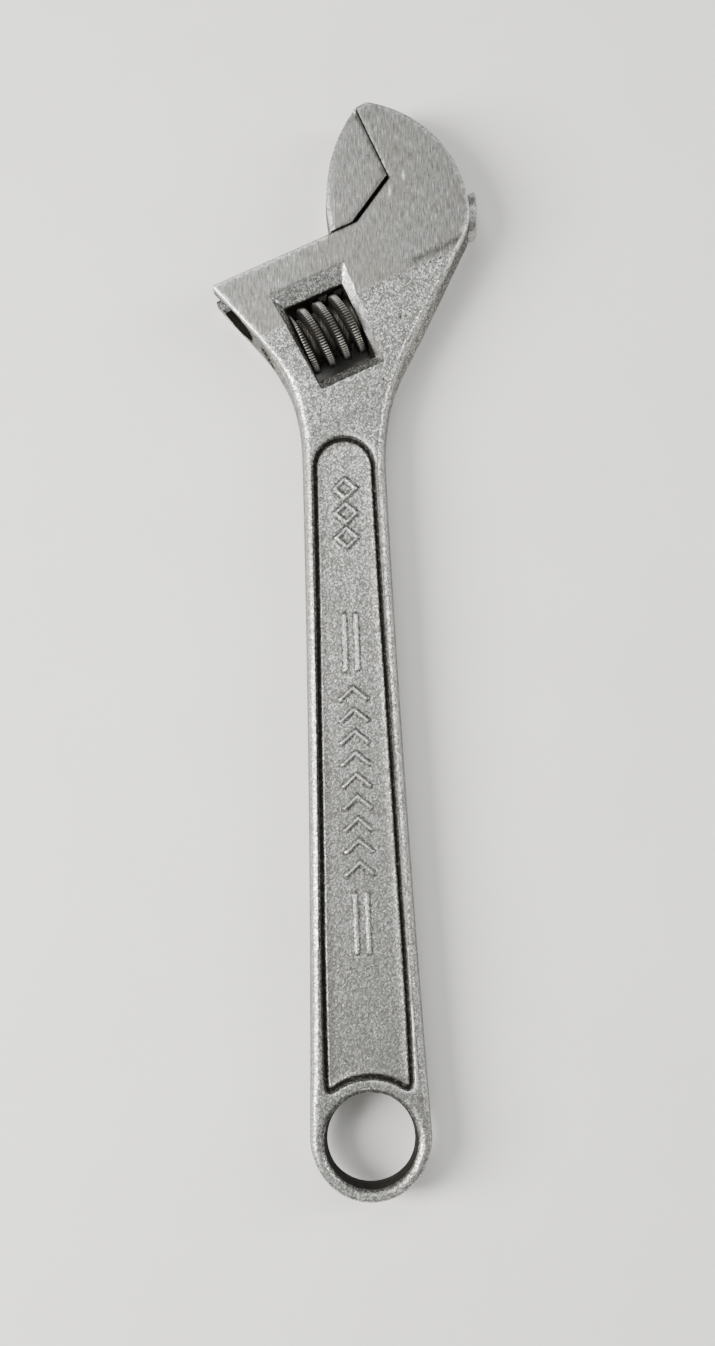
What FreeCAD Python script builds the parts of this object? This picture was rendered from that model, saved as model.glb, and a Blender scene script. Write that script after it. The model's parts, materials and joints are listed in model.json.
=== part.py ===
import FreeCAD, Part
import math
import os
import re

import Sketcher
from FreeCAD import Placement, Rotation, Vector

# Adjustable wrench, 10 inch size, jaws closed.
#
# Row frame: origin at the centre of the hanging hole on the mid-plane, +Y along the handle
# towards the head, +X to the right of the handle and +Z up through its thickness.
# Slide frame: the head's own frame. Its u axis lies along the slide, turned slide_angle from
# +X, v stands square to the shelf that the movable jaw slides on, and its origin is the inner
# end of that shelf. Bodies that belong to the slide are drawn in it.

doc = FreeCAD.newDocument("adjustable_wrench")

# ---------------------------------------------------------------------------------------------
# Driving dimensions, in millimetres and degrees
# ---------------------------------------------------------------------------------------------

SIZES = [
    # handle and ring
    ("handle_thickness", 11.0, "handle and ring, face to face"),
    ("ring_radius", 13.7, "outside of the hanging ring"),
    ("hole_radius", 10.4, "hanging hole"),
    ("hole_rim", 1.3, "rounding of the hole's rims"),
    ("handle_edge", 1.8, "rounding of the handle's outer edges"),
    ("neck_half_width", 9.8, "half width of the handle at its narrowest"),
    ("neck_height", 152.0, "distance of that place from the hanging hole"),
    ("handle_side_radius", 5500.0, "slow curve of the handle's sides"),
    ("panel_depth", 0.9, "recess of the handle's panels"),
    ("panel_foot_radius", 14.0, "panel's lower end, concentric with the hole"),
    ("panel_foot_half_width", 9.6, "half width of the panel at its lower end"),
    ("panel_top_radius", 7.2, "panel's round upper end"),
    # head and fixed jaw, corners in the slide frame
    ("head_thickness", 15.5, "head, face to face"),
    ("slide_x", 5.2, "slide frame's origin in the row frame"),
    ("slide_y", 210.4, "slide frame's origin in the row frame"),
    ("slide_angle", 22.5, "slide's angle to +X"),
    ("shelf_length", 37.5, "shelf, from its open end to the throat"),
    ("jaw_face_u", 11.43, "fixed jaw's gripping face"),
    ("throat_rise", 6.6, "foot of that face above the shelf"),
    ("jaw_tip_v", 25.7, "top of the gripping face above the shelf"),
    ("tip_u", 14.6, "outer corner of the fixed jaw's tip"),
    ("tip_v", 25.9, "outer corner of the fixed jaw's tip"),
    ("jaw_back_radius", 28.9, "fixed jaw's back"),
    ("back_end_u", 25.5, "lower end of the back's main curve"),
    ("back_end_v", -8.4, "lower end of the back's main curve"),
    ("shoulder_radius", 15.0, "turn from the back into the shoulder"),
    ("shoulder_u", 21.0, "upper end of the straight shoulder"),
    ("shoulder_v", -14.1, "upper end of the straight shoulder"),
    ("shoulder_foot_u", 2.0, "lower end of the straight shoulder"),
    ("shoulder_foot_v", -30.0, "lower end of the straight shoulder"),
    ("right_neck_radius", 62.0, "hollow between the shoulder and the handle"),
    ("right_neck_u", -16.7, "foot of that hollow"),
    ("right_neck_v", -52.6, "foot of that hollow"),
    ("left_neck_u", -34.9, "foot of the left hollow"),
    ("left_neck_v", -45.1, "foot of the left hollow"),
    ("left_neck_radius", 44.0, "hollow between the handle and the left side"),
    ("left_side_u", -32.5, "top of the left hollow"),
    ("left_side_v", -15.8, "top of the left hollow"),
    ("ground_edge_v", -16.0, "edge of the head's ground faces"),
    ("slope_foot_v", -46.0, "where the head has thinned to the handle"),
    # slide
    ("bore_v", -7.8, "slide bore's axis below the shelf"),
    ("bore_radius", 5.3, "slide bore"),
    ("slot_width", 6.4, "slot from the shelf into the bore"),
    ("slot_end_u", -0.7, "closed end of that slot"),
    # worm window and its bevel
    ("window_left", -23.9, "window's inner edges"),
    ("window_right", -9.2, "window's inner edges"),
    ("window_top", -11.8, "window's inner edges"),
    ("window_bottom", -30.7, "window's inner edges"),
    ("bevel_depth", 2.2, "depth of the bevel round the window"),
    ("bevel_top_v", -7.9, "bevel's outer edge, top"),
    ("bevel_bottom_v", -33.2, "bevel's outer edge, bottom"),
    ("bevel_top_left", -26.1, "bevel's outer corner, top left"),
    ("bevel_top_right", -6.9, "bevel's outer corner, top right"),
    ("bevel_bottom_left", -24.3, "bevel's outer corner, bottom left"),
    ("bevel_bottom_right", -8.0, "bevel's outer corner, bottom right"),
    # movable jaw
    ("jaw_gap", 0.06, "between the closed gripping faces"),
    ("shelf_gap", 0.15, "under the jaw's base"),
    ("base_back_u", -6.6, "outer end of the jaw's base"),
    ("base_front_u", -1.14, "inner end of the jaw's base"),
    ("jaw_heel_v", 7.35, "foot of the movable gripping face"),
    ("jaw_tip_drop", 0.5, "movable gripping face's tip below the fixed one's"),
    ("jaw_nose_u", 10.6, "outer corner of the movable jaw's tip"),
    ("jaw_nose_v", 25.4, "outer corner of the movable jaw's tip"),
    ("jaw_curve_radius", 36.3, "movable jaw's back"),
    ("web_width", 6.0, "web between the jaw and its rod"),
    ("rod_radius", 5.2, "slide rod"),
    ("rod_left", -16.8, "rod's left end"),
    ("rod_right", 30.5, "rod's right end before its slanted cut"),
    ("rod_cut_u", 27.4, "slanted end, at the depth below"),
    ("rod_cut_v", -9.0, "slanted end, depth of that place"),
    # rack and worm
    ("thread_pitch", 4.0, "rack pitch and the worm's lead"),
    ("thread_crest", 1.25, "width of the worm's crests"),
    ("rack_first", -16.5, "middle of the rack's first space"),
    ("rack_spaces", 10, "spaces in the rack"),
    ("rack_floor_v", -11.3, "floor of the rack's spaces"),
    ("rack_floor_width", 1.4, "space width at its floor"),
    ("rack_mouth_v", -14.0, "below the rod, where the cutter starts"),
    ("rack_mouth_width", 3.73, "cutter width there"),
    ("rack_lean", 5.2, "angle of the spaces to the rod's cross section"),
    ("worm_v", -19.4, "worm's axis below the shelf"),
    ("worm_radius", 7.8, "worm's crests"),
    ("worm_root_radius", 5.6, "worm's root"),
    ("worm_root_width", 0.85, "flat of the root"),
    ("worm_left", -23.7, "worm's left end"),
    ("worm_length", 14.3, "worm, end to end"),
    ("worm_groove_start", -26.5, "middle of the groove where its cut starts"),
    ("worm_groove_turns", 5, "turns that the groove is cut for"),
    ("worm_end_chamfer", 0.6, "broken edges of the worm's ends"),
    ("worm_bore_radius", 2.5, "worm's hole for its pin"),
    ("spring_bore_radius", 3.8, "counterbore for the spring"),
    ("spring_bore_depth", 5.9, "counterbore for the spring"),
    # pin and spring
    ("pin_radius", 2.4, "pin's shank"),
    ("pin_hole_radius", 2.45, "blind hole for the shank"),
    ("pin_end", -3.4, "shank's inner end"),
    ("pin_hole_end", -3.1, "bottom of the blind hole"),
    ("pin_head_radius", 3.2, "pin's screw head"),
    ("pin_head_hole_radius", 3.24, "hole for the screw head"),
    ("pin_head_left", -31.3, "outer face of the screw head"),
    ("pin_head_right", -27.0, "seat of the screw head"),
    ("pin_end_chamfer", 0.4, "broken edge of the shank's end"),
    ("pin_head_chamfer", 0.3, "broken edge of the screw head"),
    ("pin_slot_width", 1.0, "screwdriver slot"),
    ("pin_slot_depth", 1.2, "screwdriver slot"),
    ("spring_left", -23.85, "spring's left end"),
    ("spring_radius", 3.2, "spring's mean radius"),
    ("spring_wire_radius", 0.35, "spring's wire"),
    ("spring_pitch", 1.1, "spring's pitch"),
    ("spring_turns", 4.7, "spring's turns"),
    # construction
    ("overrun", 1.0, "how far a cutter passes the face it opens"),
    ("neck_overlap", 30.0, "handle's length inside the head"),
    ("slope_cutter_length", 30.0, "length of the slopes' cutters past their foot"),
    ("end_cut_reach", 8.0, "half height of the cutter of the rod's end"),
]

ALIASES = {alias for alias, _, _ in SIZES}
THROUGH = 150.0             # length of a cut that has to leave the part on both sides
TOLERANCE = 0.001           # below this, lengths and volumes count as equal

sheet = doc.addObject("Spreadsheet::Sheet", "Sizes")
for row, (alias, value, note) in enumerate(SIZES, start=1):
    sheet.set(f"A{row}", alias)
    sheet.set(f"B{row}", str(value))
    sheet.setAlias(f"B{row}", alias)
    sheet.set(f"C{row}", note)
doc.recompute()


# ---------------------------------------------------------------------------------------------
# Helpers
# ---------------------------------------------------------------------------------------------

def bound(expression):
    """Put the sheet's name before each alias in an expression."""
    return re.sub(r"[A-Za-z_]+",
                  lambda word: f"Sizes.{word[0]}" if word[0] in ALIASES else word[0],
                  expression)


def size(expression):
    """Value of an expression in the sheet's aliases."""
    return float(sheet.evalExpression(bound(expression)))


def new_body(name, placed=None):
    """Add a PartDesign body. placed gives its origin in the slide frame as two expressions."""
    body = doc.addObject("PartDesign::Body", name)
    body.Label = name
    if placed:
        along, up = (f"({bound(part)})" for part in placed)
        angle = "Sizes.slide_angle * 1deg"
        body.Placement = Placement(Vector(), Rotation(Vector(0, 0, 1), size("slide_angle")))
        x = f"Sizes.slide_x + {along} * cos({angle}) - {up} * sin({angle})"
        y = f"Sizes.slide_y + {along} * sin({angle}) + {up} * cos({angle})"
        body.setExpression("Placement.Base.x", x)
        body.setExpression("Placement.Base.y", y)
        body.setExpression("Placement.Rotation.Angle", "Sizes.slide_angle")
    return body


def origin_plane(body, role):
    """The body's own origin plane with that role."""
    return next(part for part in body.Origin.OriginFeatures if part.Role == role)


def flat_sketch(body, name, height="0", in_slide=False):
    """Sketch parallel to XY, drawn in the body's own frame or in the slide frame."""
    sketch = body.newObject("Sketcher::SketchObject", name)
    sketch.AttachmentSupport = (origin_plane(body, "XY_Plane"), [""])
    sketch.MapMode = "FlatFace"
    if in_slide:
        sketch.AttachmentOffset = Placement(Vector(), Rotation(Vector(0, 0, 1), 1))
        sketch.setExpression("AttachmentOffset.Base.x", "Sizes.slide_x")
        sketch.setExpression("AttachmentOffset.Base.y", "Sizes.slide_y")
        sketch.setExpression("AttachmentOffset.Rotation.Angle", "Sizes.slide_angle")
    sketch.setExpression("AttachmentOffset.Base.z", bound(height))
    return sketch


def cross_sketch(body, name, along="0", in_slide=False):
    """Sketch square to the slide at that place along it: its x is v and its y is z."""
    sketch = body.newObject("Sketcher::SketchObject", name)
    sketch.AttachmentSupport = (origin_plane(body, "YZ_Plane"), [""])
    sketch.MapMode = "FlatFace"
    if not in_slide:
        sketch.setExpression("AttachmentOffset.Base.z", bound(along))
        return sketch
    turned = "Sizes.slide_angle * 1deg"
    reach = f"({bound(along)})"
    sketch.AttachmentOffset = Placement(Vector(), Rotation(Vector(0, 1, 0), 1))
    sketch.setExpression("AttachmentOffset.Base.x", f"Sizes.slide_y + {reach} * sin({turned})")
    sketch.setExpression("AttachmentOffset.Base.z", f"Sizes.slide_x + {reach} * cos({turned})")
    sketch.setExpression("AttachmentOffset.Rotation.Angle", "Sizes.slide_angle")
    return sketch


def bind(sketch, constraint, expression):
    """Add a driving constraint and tie it to the sheet."""
    index = sketch.addConstraint(constraint)
    sketch.setExpression(f"Constraints[{index}]", bound(expression))


def draw_outline(sketch, corners):
    """Draw a closed outline of lines and arcs with every corner tied to the sheet.

    Each corner is (x, y) or (x, y, radius, turn) in expressions. The latter starts an arc of
    less than half a circle that turns left (turn 1) or right (turn -1) to the next corner.
    """
    points = [Vector(size(corner[0]), size(corner[1]), 0) for corner in corners]
    first = sketch.GeometryCount
    ends = []
    for index, corner in enumerate(corners):
        start = points[index]
        end = points[(index + 1) % len(points)]
        if len(corner) == 2:
            sketch.addGeometry(Part.LineSegment(start, end), False)
            ends.append((1, 2))
            continue
        radius = size(corner[2])
        turn = corner[3]
        chord = end - start
        half = chord.Length / 2
        sagitta = radius - math.sqrt(max(radius ** 2 - half ** 2, 0.0))
        left = Vector(-chord.y, chord.x, 0).normalize()
        middle = (start + end) / 2 - left * (turn * sagitta)
        sketch.addGeometry(Part.Arc(start, middle, end), False)
        ends.append((1, 2) if turn > 0 else (2, 1))
    for index, corner in enumerate(corners):
        edge = first + index
        before = first + (index - 1) % len(corners)
        begin = ends[index][0]
        sketch.addConstraint(Sketcher.Constraint(
            "Coincident", before, ends[index - 1][1], edge, begin))
        bind(sketch, Sketcher.Constraint(
            "DistanceX", -1, 1, edge, begin, points[index].x), corner[0])
        bind(sketch, Sketcher.Constraint(
            "DistanceY", -1, 1, edge, begin, points[index].y), corner[1])
        if len(corner) == 4:
            bind(sketch, Sketcher.Constraint("Radius", edge, size(corner[2])), corner[2])


def draw_circle(sketch, x, y, radius):
    """Draw a circle with its centre and radius tied to the sheet."""
    centre = Vector(size(x), size(y), 0)
    circle = sketch.addGeometry(Part.Circle(centre, Vector(0, 0, 1), size(radius)), False)
    bind(sketch, Sketcher.Constraint("DistanceX", -1, 1, circle, 3, centre.x), x)
    bind(sketch, Sketcher.Constraint("DistanceY", -1, 1, circle, 3, centre.y), y)
    bind(sketch, Sketcher.Constraint("Radius", circle, size(radius)), radius)


def rectangle(left, right, bottom, top):
    """Corners of a rectangle, anticlockwise."""
    return [(left, bottom), (right, bottom), (right, top), (left, top)]


def pad(body, name, sketch, length, midplane=False):
    """Pad a sketch."""
    feature = body.newObject("PartDesign::Pad", name)
    feature.Profile = sketch
    feature.Midplane = midplane
    feature.setExpression("Length", bound(length))
    doc.recompute()
    return feature


def pocket(body, name, sketch, depth=None, midplane=False):
    """Cut a sketch out of the body, through all of it if no depth is given."""
    volume = body.Shape.Volume
    feature = body.newObject("PartDesign::Pocket", name)
    feature.Profile = sketch
    feature.Midplane = midplane
    if depth is None:
        feature.Length = THROUGH
    else:
        feature.setExpression("Length", bound(depth))
    doc.recompute()
    if body.Shape.Volume > volume - TOLERANCE:
        raise RuntimeError(f"{body.Label}: {name} cuts nothing")
    return feature


def mirrored(body, name, original):
    """Repeat a feature below the mid-plane."""
    feature = body.newObject("PartDesign::Mirrored", name)
    feature.Originals = [original]
    feature.MirrorPlane = (origin_plane(body, "XY_Plane"), [""])
    body.Tip = feature
    doc.recompute()
    return feature


def round_edges(body, name, base, radius, wanted):
    """Fillet the edges of a feature that the test wanted picks."""
    picked = [f"Edge{number}" for number, edge in enumerate(base.Shape.Edges, start=1)
              if wanted(edge)]
    feature = body.newObject("PartDesign::Fillet", name)
    feature.Base = (base, picked)
    feature.setExpression("Radius", bound(radius))
    doc.recompute()
    return feature


# ---------------------------------------------------------------------------------------------
# Forged body: handle, ring, head and fixed jaw
# ---------------------------------------------------------------------------------------------

def add_handle(body):
    """Handle with its ring, rounded outer edges and hanging hole."""
    outline = flat_sketch(body, "handle_outline")
    draw_outline(outline, [
        ("- ring_radius", "0", "ring_radius", 1),
        ("0", "- ring_radius", "ring_radius", 1),
        ("ring_radius", "0", "handle_side_radius", -1),
        ("neck_half_width", "neck_height"),
        ("neck_half_width", "neck_height + neck_overlap"),
        ("- neck_half_width", "neck_height + neck_overlap"),
        ("- neck_half_width", "neck_height", "handle_side_radius", -1),
    ])
    handle = pad(body, "handle", outline, "handle_thickness", midplane=True)

    def is_outer_edge(edge):
        on_face = abs(abs(edge.CenterOfMass.z) - size("handle_thickness / 2")) < TOLERANCE
        return on_face and edge.CenterOfMass.y < size("neck_height + neck_overlap - overrun")

    round_edges(body, "handle_rounding", handle, "handle_edge", is_outer_edge)

    hole = flat_sketch(body, "hole_circle")
    draw_circle(hole, "0", "0", "hole_radius")
    hole_cut = pocket(body, "hanging_hole", hole, midplane=True)

    def is_hole_rim(edge):
        circle = edge.Curve
        return (isinstance(circle, Part.Circle) and circle.Center.Length < size("handle_thickness")
                and abs(circle.Radius - size("hole_radius")) < 0.01)

    round_edges(body, "hole_rounding", hole_cut, "hole_rim", is_hole_rim)


def add_head(body):
    """Head and fixed jaw, thinned below its ground faces to the handle's thickness."""
    outline = flat_sketch(body, "head_outline", in_slide=True)
    draw_outline(outline, [
        ("- shelf_length", "0"),
        ("0", "0"),
        ("jaw_face_u", "throat_rise"),
        ("jaw_face_u", "jaw_tip_v"),
        ("tip_u", "tip_v", "jaw_back_radius", -1),
        ("back_end_u", "back_end_v", "shoulder_radius", -1),
        ("shoulder_u", "shoulder_v"),
        ("shoulder_foot_u", "shoulder_foot_v", "right_neck_radius", 1),
        ("right_neck_u", "right_neck_v"),
        ("left_neck_u", "left_neck_v", "left_neck_radius", 1),
        ("left_side_u", "left_side_v"),
    ])
    pad(body, "head", outline, "head_thickness", midplane=True)

    slopes = cross_sketch(body, "head_slopes", in_slide=True)
    for side in ("", "- "):
        draw_outline(slopes, [
            ("ground_edge_v", f"{side} head_thickness / 2"),
            ("slope_foot_v", f"{side} handle_thickness / 2"),
            ("slope_foot_v - slope_cutter_length", f"{side} handle_thickness / 2"),
            ("slope_foot_v - slope_cutter_length", f"{side} head_thickness"),
            ("ground_edge_v", f"{side} head_thickness"),
        ])
    pocket(body, "head_thinning", slopes, midplane=True)


def add_slide(body):
    """Bore through the head for the jaw's rod, and the slot from the shelf into it."""
    bore = cross_sketch(body, "bore_circle", in_slide=True)
    draw_circle(bore, "bore_v", "0", "bore_radius")
    pocket(body, "slide_bore", bore, midplane=True)
    slot = cross_sketch(body, "slot_section", "slot_end_u", in_slide=True)
    draw_outline(slot, rectangle("bore_v", "overrun", "- slot_width / 2", "slot_width / 2"))
    pocket(body, "slide_slot", slot)


def add_window(body):
    """Window for the worm with its forged bevel on both faces, and the pin's hole."""
    window = flat_sketch(body, "window_outline", in_slide=True)
    draw_outline(window, rectangle("window_left", "window_right", "window_bottom", "window_top"))
    pocket(body, "worm_window", window, midplane=True)

    outer = flat_sketch(body, "bevel_outer", "head_thickness / 2", in_slide=True)
    draw_outline(outer, [
        ("bevel_bottom_left", "bevel_bottom_v"), ("bevel_bottom_right", "bevel_bottom_v"),
        ("bevel_top_right", "bevel_top_v"), ("bevel_top_left", "bevel_top_v"),
    ])
    inner = flat_sketch(body, "bevel_inner", "head_thickness / 2 - bevel_depth", in_slide=True)
    draw_outline(inner, rectangle("window_left", "window_right", "window_bottom", "window_top"))
    bevel = body.newObject("PartDesign::SubtractiveLoft", "window_bevel")
    bevel.Profile = outer
    bevel.Sections = [inner]
    bevel.Ruled = True
    doc.recompute()
    mirrored(body, "window_bevel_below", bevel)

    hole = cross_sketch(body, "pin_hole_circle", "pin_hole_end", in_slide=True)
    draw_circle(hole, "worm_v", "0", "pin_hole_radius")
    pocket(body, "pin_hole", hole)
    head_hole = cross_sketch(body, "pin_head_circle", "pin_head_right", in_slide=True)
    draw_circle(head_hole, "worm_v", "0", "pin_head_hole_radius")
    pocket(body, "pin_head_hole", head_hole)


def add_panels(body):
    """Long recess in both faces of the handle, its lower end concentric with the hole."""
    foot = "sqrt(panel_foot_radius^2 - panel_foot_half_width^2)"
    panel = flat_sketch(body, "panel_outline", "handle_thickness / 2 + panel_depth")
    draw_outline(panel, [
        ("panel_foot_half_width", foot),
        ("panel_top_radius", "neck_height", "panel_top_radius", 1),
        ("0", "neck_height + panel_top_radius", "panel_top_radius", 1),
        ("- panel_top_radius", "neck_height"),
        ("- panel_foot_half_width", foot, "panel_foot_radius", -1),
    ])
    mirrored(body, "panel_below", pocket(body, "panel", panel, "2 * panel_depth"))


def make_forged_body():
    """The wrench's one large forging."""
    body = new_body("forged_body")
    add_handle(body)
    add_head(body)
    add_panels(body)
    add_slide(body)
    add_window(body)
    return body


# ---------------------------------------------------------------------------------------------
# Movable jaw: jaw, web and slide rod with its rack, drawn in the slide frame
# ---------------------------------------------------------------------------------------------

def make_movable_jaw():
    """Jaw that slides on the shelf, carried by a rod in the slide bore."""
    body = new_body("movable_jaw", placed=("0", "0"))
    face = "jaw_face_u - jaw_gap"

    jaw = flat_sketch(body, "jaw_outline")
    draw_outline(jaw, [
        ("base_back_u", "shelf_gap"),
        ("base_front_u", "shelf_gap"),
        (face, "jaw_heel_v"),
        (face, "jaw_tip_v - jaw_tip_drop"),
        ("jaw_nose_u", "jaw_nose_v", "jaw_curve_radius", 1),
    ])
    pad(body, "jaw", jaw, "head_thickness", midplane=True)

    web = flat_sketch(body, "web_outline")
    draw_outline(web, rectangle("base_back_u", "base_front_u", "bore_v", "shelf_gap + overrun"))
    pad(body, "web", web, "web_width", midplane=True)

    rod = cross_sketch(body, "rod_circle", "rod_left")
    draw_circle(rod, "bore_v", "0", "rod_radius")
    pad(body, "rod", rod, "rod_right - rod_left")

    # The rod's right end lies parallel to the handle.
    lean = "tan(slide_angle * 1deg)"
    low = "bore_v - end_cut_reach"
    high = "bore_v + end_cut_reach"
    end_cut = flat_sketch(body, "rod_end_cut")
    draw_outline(end_cut, [
        (f"rod_cut_u + ({low} - rod_cut_v) * {lean}", low),
        ("rod_right + end_cut_reach", low),
        ("rod_right + end_cut_reach", high),
        (f"rod_cut_u + ({high} - rod_cut_v) * {lean}", high),
    ])
    pocket(body, "rod_end", end_cut, midplane=True)

    # Rack: slanted spaces under the rod, at the worm's own pitch.
    space = body.newObject("Sketcher::SketchObject", "rack_space")
    space.AttachmentSupport = (origin_plane(body, "XY_Plane"), [""])
    space.MapMode = "FlatFace"
    space.AttachmentOffset = Placement(Vector(), Rotation(Vector(0, 1, 0), 1))
    space.setExpression("AttachmentOffset.Base.x", "Sizes.rack_first")
    space.setExpression("AttachmentOffset.Rotation.Angle", "Sizes.rack_lean")
    draw_outline(space, [
        ("- rack_mouth_width / 2", "rack_mouth_v"), ("rack_mouth_width / 2", "rack_mouth_v"),
        ("rack_floor_width / 2", "rack_floor_v"), ("- rack_floor_width / 2", "rack_floor_v"),
    ])
    first_space = pocket(body, "rack_first_space", space, midplane=True)
    rack = body.newObject("PartDesign::LinearPattern", "rack")
    rack.Originals = [first_space]
    rack.Direction = (next(axis for axis in body.Origin.OriginFeatures
                           if axis.Role == "X_Axis"), [""])
    rack.setExpression("Length", bound("thread_pitch * (rack_spaces - 1)"))
    rack.setExpression("Occurrences", bound("rack_spaces"))
    body.Tip = rack
    doc.recompute()
    return body


# ---------------------------------------------------------------------------------------------
# Worm, pin and spring, drawn along the worm's axis
# ---------------------------------------------------------------------------------------------

def make_adjusting_worm():
    """Single-start right-hand worm with a through hole and a counterbore for the spring."""
    body = new_body("adjusting_worm", placed=("0", "worm_v"))
    right = "worm_left + worm_length"

    section = flat_sketch(body, "worm_section")
    draw_outline(section, [
        ("worm_left + spring_bore_depth", "worm_bore_radius"),
        (right, "worm_bore_radius"),
        (right, "worm_radius - worm_end_chamfer"),
        (f"{right} - worm_end_chamfer", "worm_radius"),
        ("worm_left + worm_end_chamfer", "worm_radius"),
        ("worm_left", "worm_radius - worm_end_chamfer"),
        ("worm_left", "spring_bore_radius"),
        ("worm_left + spring_bore_depth", "spring_bore_radius"),
    ])
    blank = body.newObject("PartDesign::Revolution", "worm_blank")
    blank.Profile = section
    blank.ReferenceAxis = (section, ["H_Axis"])
    blank.Angle = 360
    doc.recompute()

    # The groove widens outwards, by as much on each flank, to leave a narrow crest.
    spread = "(thread_pitch - thread_crest - worm_root_width) / 2"
    slope = f"{spread} / (worm_radius - worm_root_radius)"
    outside = f"worm_root_width / 2 + {spread} + overrun * {slope}"
    groove = flat_sketch(body, "groove_section")
    draw_outline(groove, [
        ("worm_groove_start - worm_root_width / 2", "worm_root_radius"),
        ("worm_groove_start + worm_root_width / 2", "worm_root_radius"),
        (f"worm_groove_start + {outside}", "worm_radius + overrun"),
        (f"worm_groove_start - ({outside})", "worm_radius + overrun"),
    ])
    volume = body.Shape.Volume
    thread = body.newObject("PartDesign::SubtractiveHelix", "worm_groove")
    thread.Profile = groove
    thread.ReferenceAxis = (groove, ["H_Axis"])
    thread.Mode = 0
    thread.setExpression("Pitch", bound("thread_pitch"))
    thread.setExpression("Height", bound("thread_pitch * worm_groove_turns"))
    thread.LeftHanded = False
    doc.recompute()
    if body.Shape.Volume > volume - TOLERANCE:
        raise RuntimeError("adjusting_worm: the groove cuts nothing")
    return body


def make_worm_pin():
    """Pin that the worm turns on, with its slotted screw head."""
    body = new_body("worm_pin", placed=("0", "worm_v"))
    section = flat_sketch(body, "pin_section")
    draw_outline(section, [
        ("pin_head_left", "0"),
        ("pin_end", "0"),
        ("pin_end", "pin_radius - pin_end_chamfer"),
        ("pin_end - pin_end_chamfer", "pin_radius"),
        ("pin_head_right", "pin_radius"),
        ("pin_head_right", "pin_head_radius"),
        ("pin_head_left + pin_head_chamfer", "pin_head_radius"),
        ("pin_head_left", "pin_head_radius - pin_head_chamfer"),
    ])
    turned = body.newObject("PartDesign::Revolution", "pin_turned")
    turned.Profile = section
    turned.ReferenceAxis = (section, ["H_Axis"])
    turned.Angle = 360
    doc.recompute()

    slot = cross_sketch(body, "driver_slot", "pin_head_left + pin_slot_depth")
    draw_outline(slot, rectangle("- pin_head_radius - overrun", "pin_head_radius + overrun",
                                 "- pin_slot_width / 2", "pin_slot_width / 2"))
    pocket(body, "pin_slot", slot)
    return body


def make_pin_spring():
    """Open coil spring round the pin."""
    body = new_body("pin_spring", placed=("0", "worm_v"))
    wire = flat_sketch(body, "wire_section")
    draw_circle(wire, "spring_left + spring_wire_radius", "spring_radius", "spring_wire_radius")
    coil = body.newObject("PartDesign::AdditiveHelix", "coil")
    coil.Profile = wire
    coil.ReferenceAxis = (wire, ["H_Axis"])
    coil.Mode = 0
    coil.setExpression("Pitch", bound("spring_pitch"))
    coil.setExpression("Height", bound("spring_pitch * spring_turns"))
    doc.recompute()
    return body


# ---------------------------------------------------------------------------------------------
# Build, check and write
# ---------------------------------------------------------------------------------------------

bodies = [
    make_forged_body(),
    make_movable_jaw(),
    make_adjusting_worm(),
    make_worm_pin(),
    make_pin_spring(),
]
doc.recompute()

for part in doc.Objects:
    if "Invalid" in part.State or "Error" in part.State:
        raise RuntimeError(f"{part.Name} failed: {part.State}")
for body in bodies:
    if body.Shape.isNull() or not body.Shape.isValid() or len(body.Shape.Solids) != 1:
        raise RuntimeError(f"{body.Label} is not one valid solid")

os.makedirs("parts", exist_ok=True)
for body in bodies:
    body.Shape.exportStep(f"parts/{body.Label}.step")
    box = body.Shape.BoundBox
    print(f"{body.Label}: {body.Shape.Volume:.0f} mm3, x {box.XMin:.2f} {box.XMax:.2f}, "
          f"y {box.YMin:.2f} {box.YMax:.2f}, z {box.ZMin:.2f} {box.ZMax:.2f}")
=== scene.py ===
"""Looks of an adjustable wrench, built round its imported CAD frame.

Row frame: the origin is the centre of the hanging hole on the mid-plane, +Y runs along the
handle towards the head and +Z up through the thickness. Slide frame: u runs along the slide,
turned from +X, v is square to the shelf and its origin is the shelf's inner end. Shapes are
worked out in millimetres and put into meshes in metres.
"""

import json
import logging
import math
from dataclasses import dataclass, field
from enum import Enum
from typing import Any, Sequence

import bpy
import numpy as np
from mathutils import Matrix, Vector
from mathutils.geometry import delaunay_2d_cdt

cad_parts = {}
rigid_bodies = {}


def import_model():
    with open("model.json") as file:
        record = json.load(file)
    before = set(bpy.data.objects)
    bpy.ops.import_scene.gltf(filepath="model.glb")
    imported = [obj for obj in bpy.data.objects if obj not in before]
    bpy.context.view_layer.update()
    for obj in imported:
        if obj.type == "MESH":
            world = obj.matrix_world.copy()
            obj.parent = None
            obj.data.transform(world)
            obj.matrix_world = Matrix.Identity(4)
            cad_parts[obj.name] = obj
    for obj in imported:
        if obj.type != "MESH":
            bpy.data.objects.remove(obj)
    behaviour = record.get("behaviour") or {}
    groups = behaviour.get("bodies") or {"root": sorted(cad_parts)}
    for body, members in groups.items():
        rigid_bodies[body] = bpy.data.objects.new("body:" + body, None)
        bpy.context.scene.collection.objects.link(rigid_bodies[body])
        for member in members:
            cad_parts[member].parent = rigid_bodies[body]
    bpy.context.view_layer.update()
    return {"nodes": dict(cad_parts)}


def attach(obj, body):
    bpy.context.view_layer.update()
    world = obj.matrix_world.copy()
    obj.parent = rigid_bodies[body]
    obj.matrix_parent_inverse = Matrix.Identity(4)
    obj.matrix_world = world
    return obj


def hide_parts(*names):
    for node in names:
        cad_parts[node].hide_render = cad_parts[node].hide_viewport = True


log = logging.getLogger("adjustable_wrench")

MILLIMETRE = 0.001
TINY = 1e-12
# Points compared with a line at one time, which bounds the memory used.
BATCH = 4000
# Points along an eased corner, its two ends included.
EASE_POINTS = 8

for leftover in list(bpy.data.objects):
    bpy.data.objects.remove(leftover, do_unlink=True)
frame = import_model()


# ---------------------------------------------------------------------------------------------
# Plane curves
# ---------------------------------------------------------------------------------------------

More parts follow.
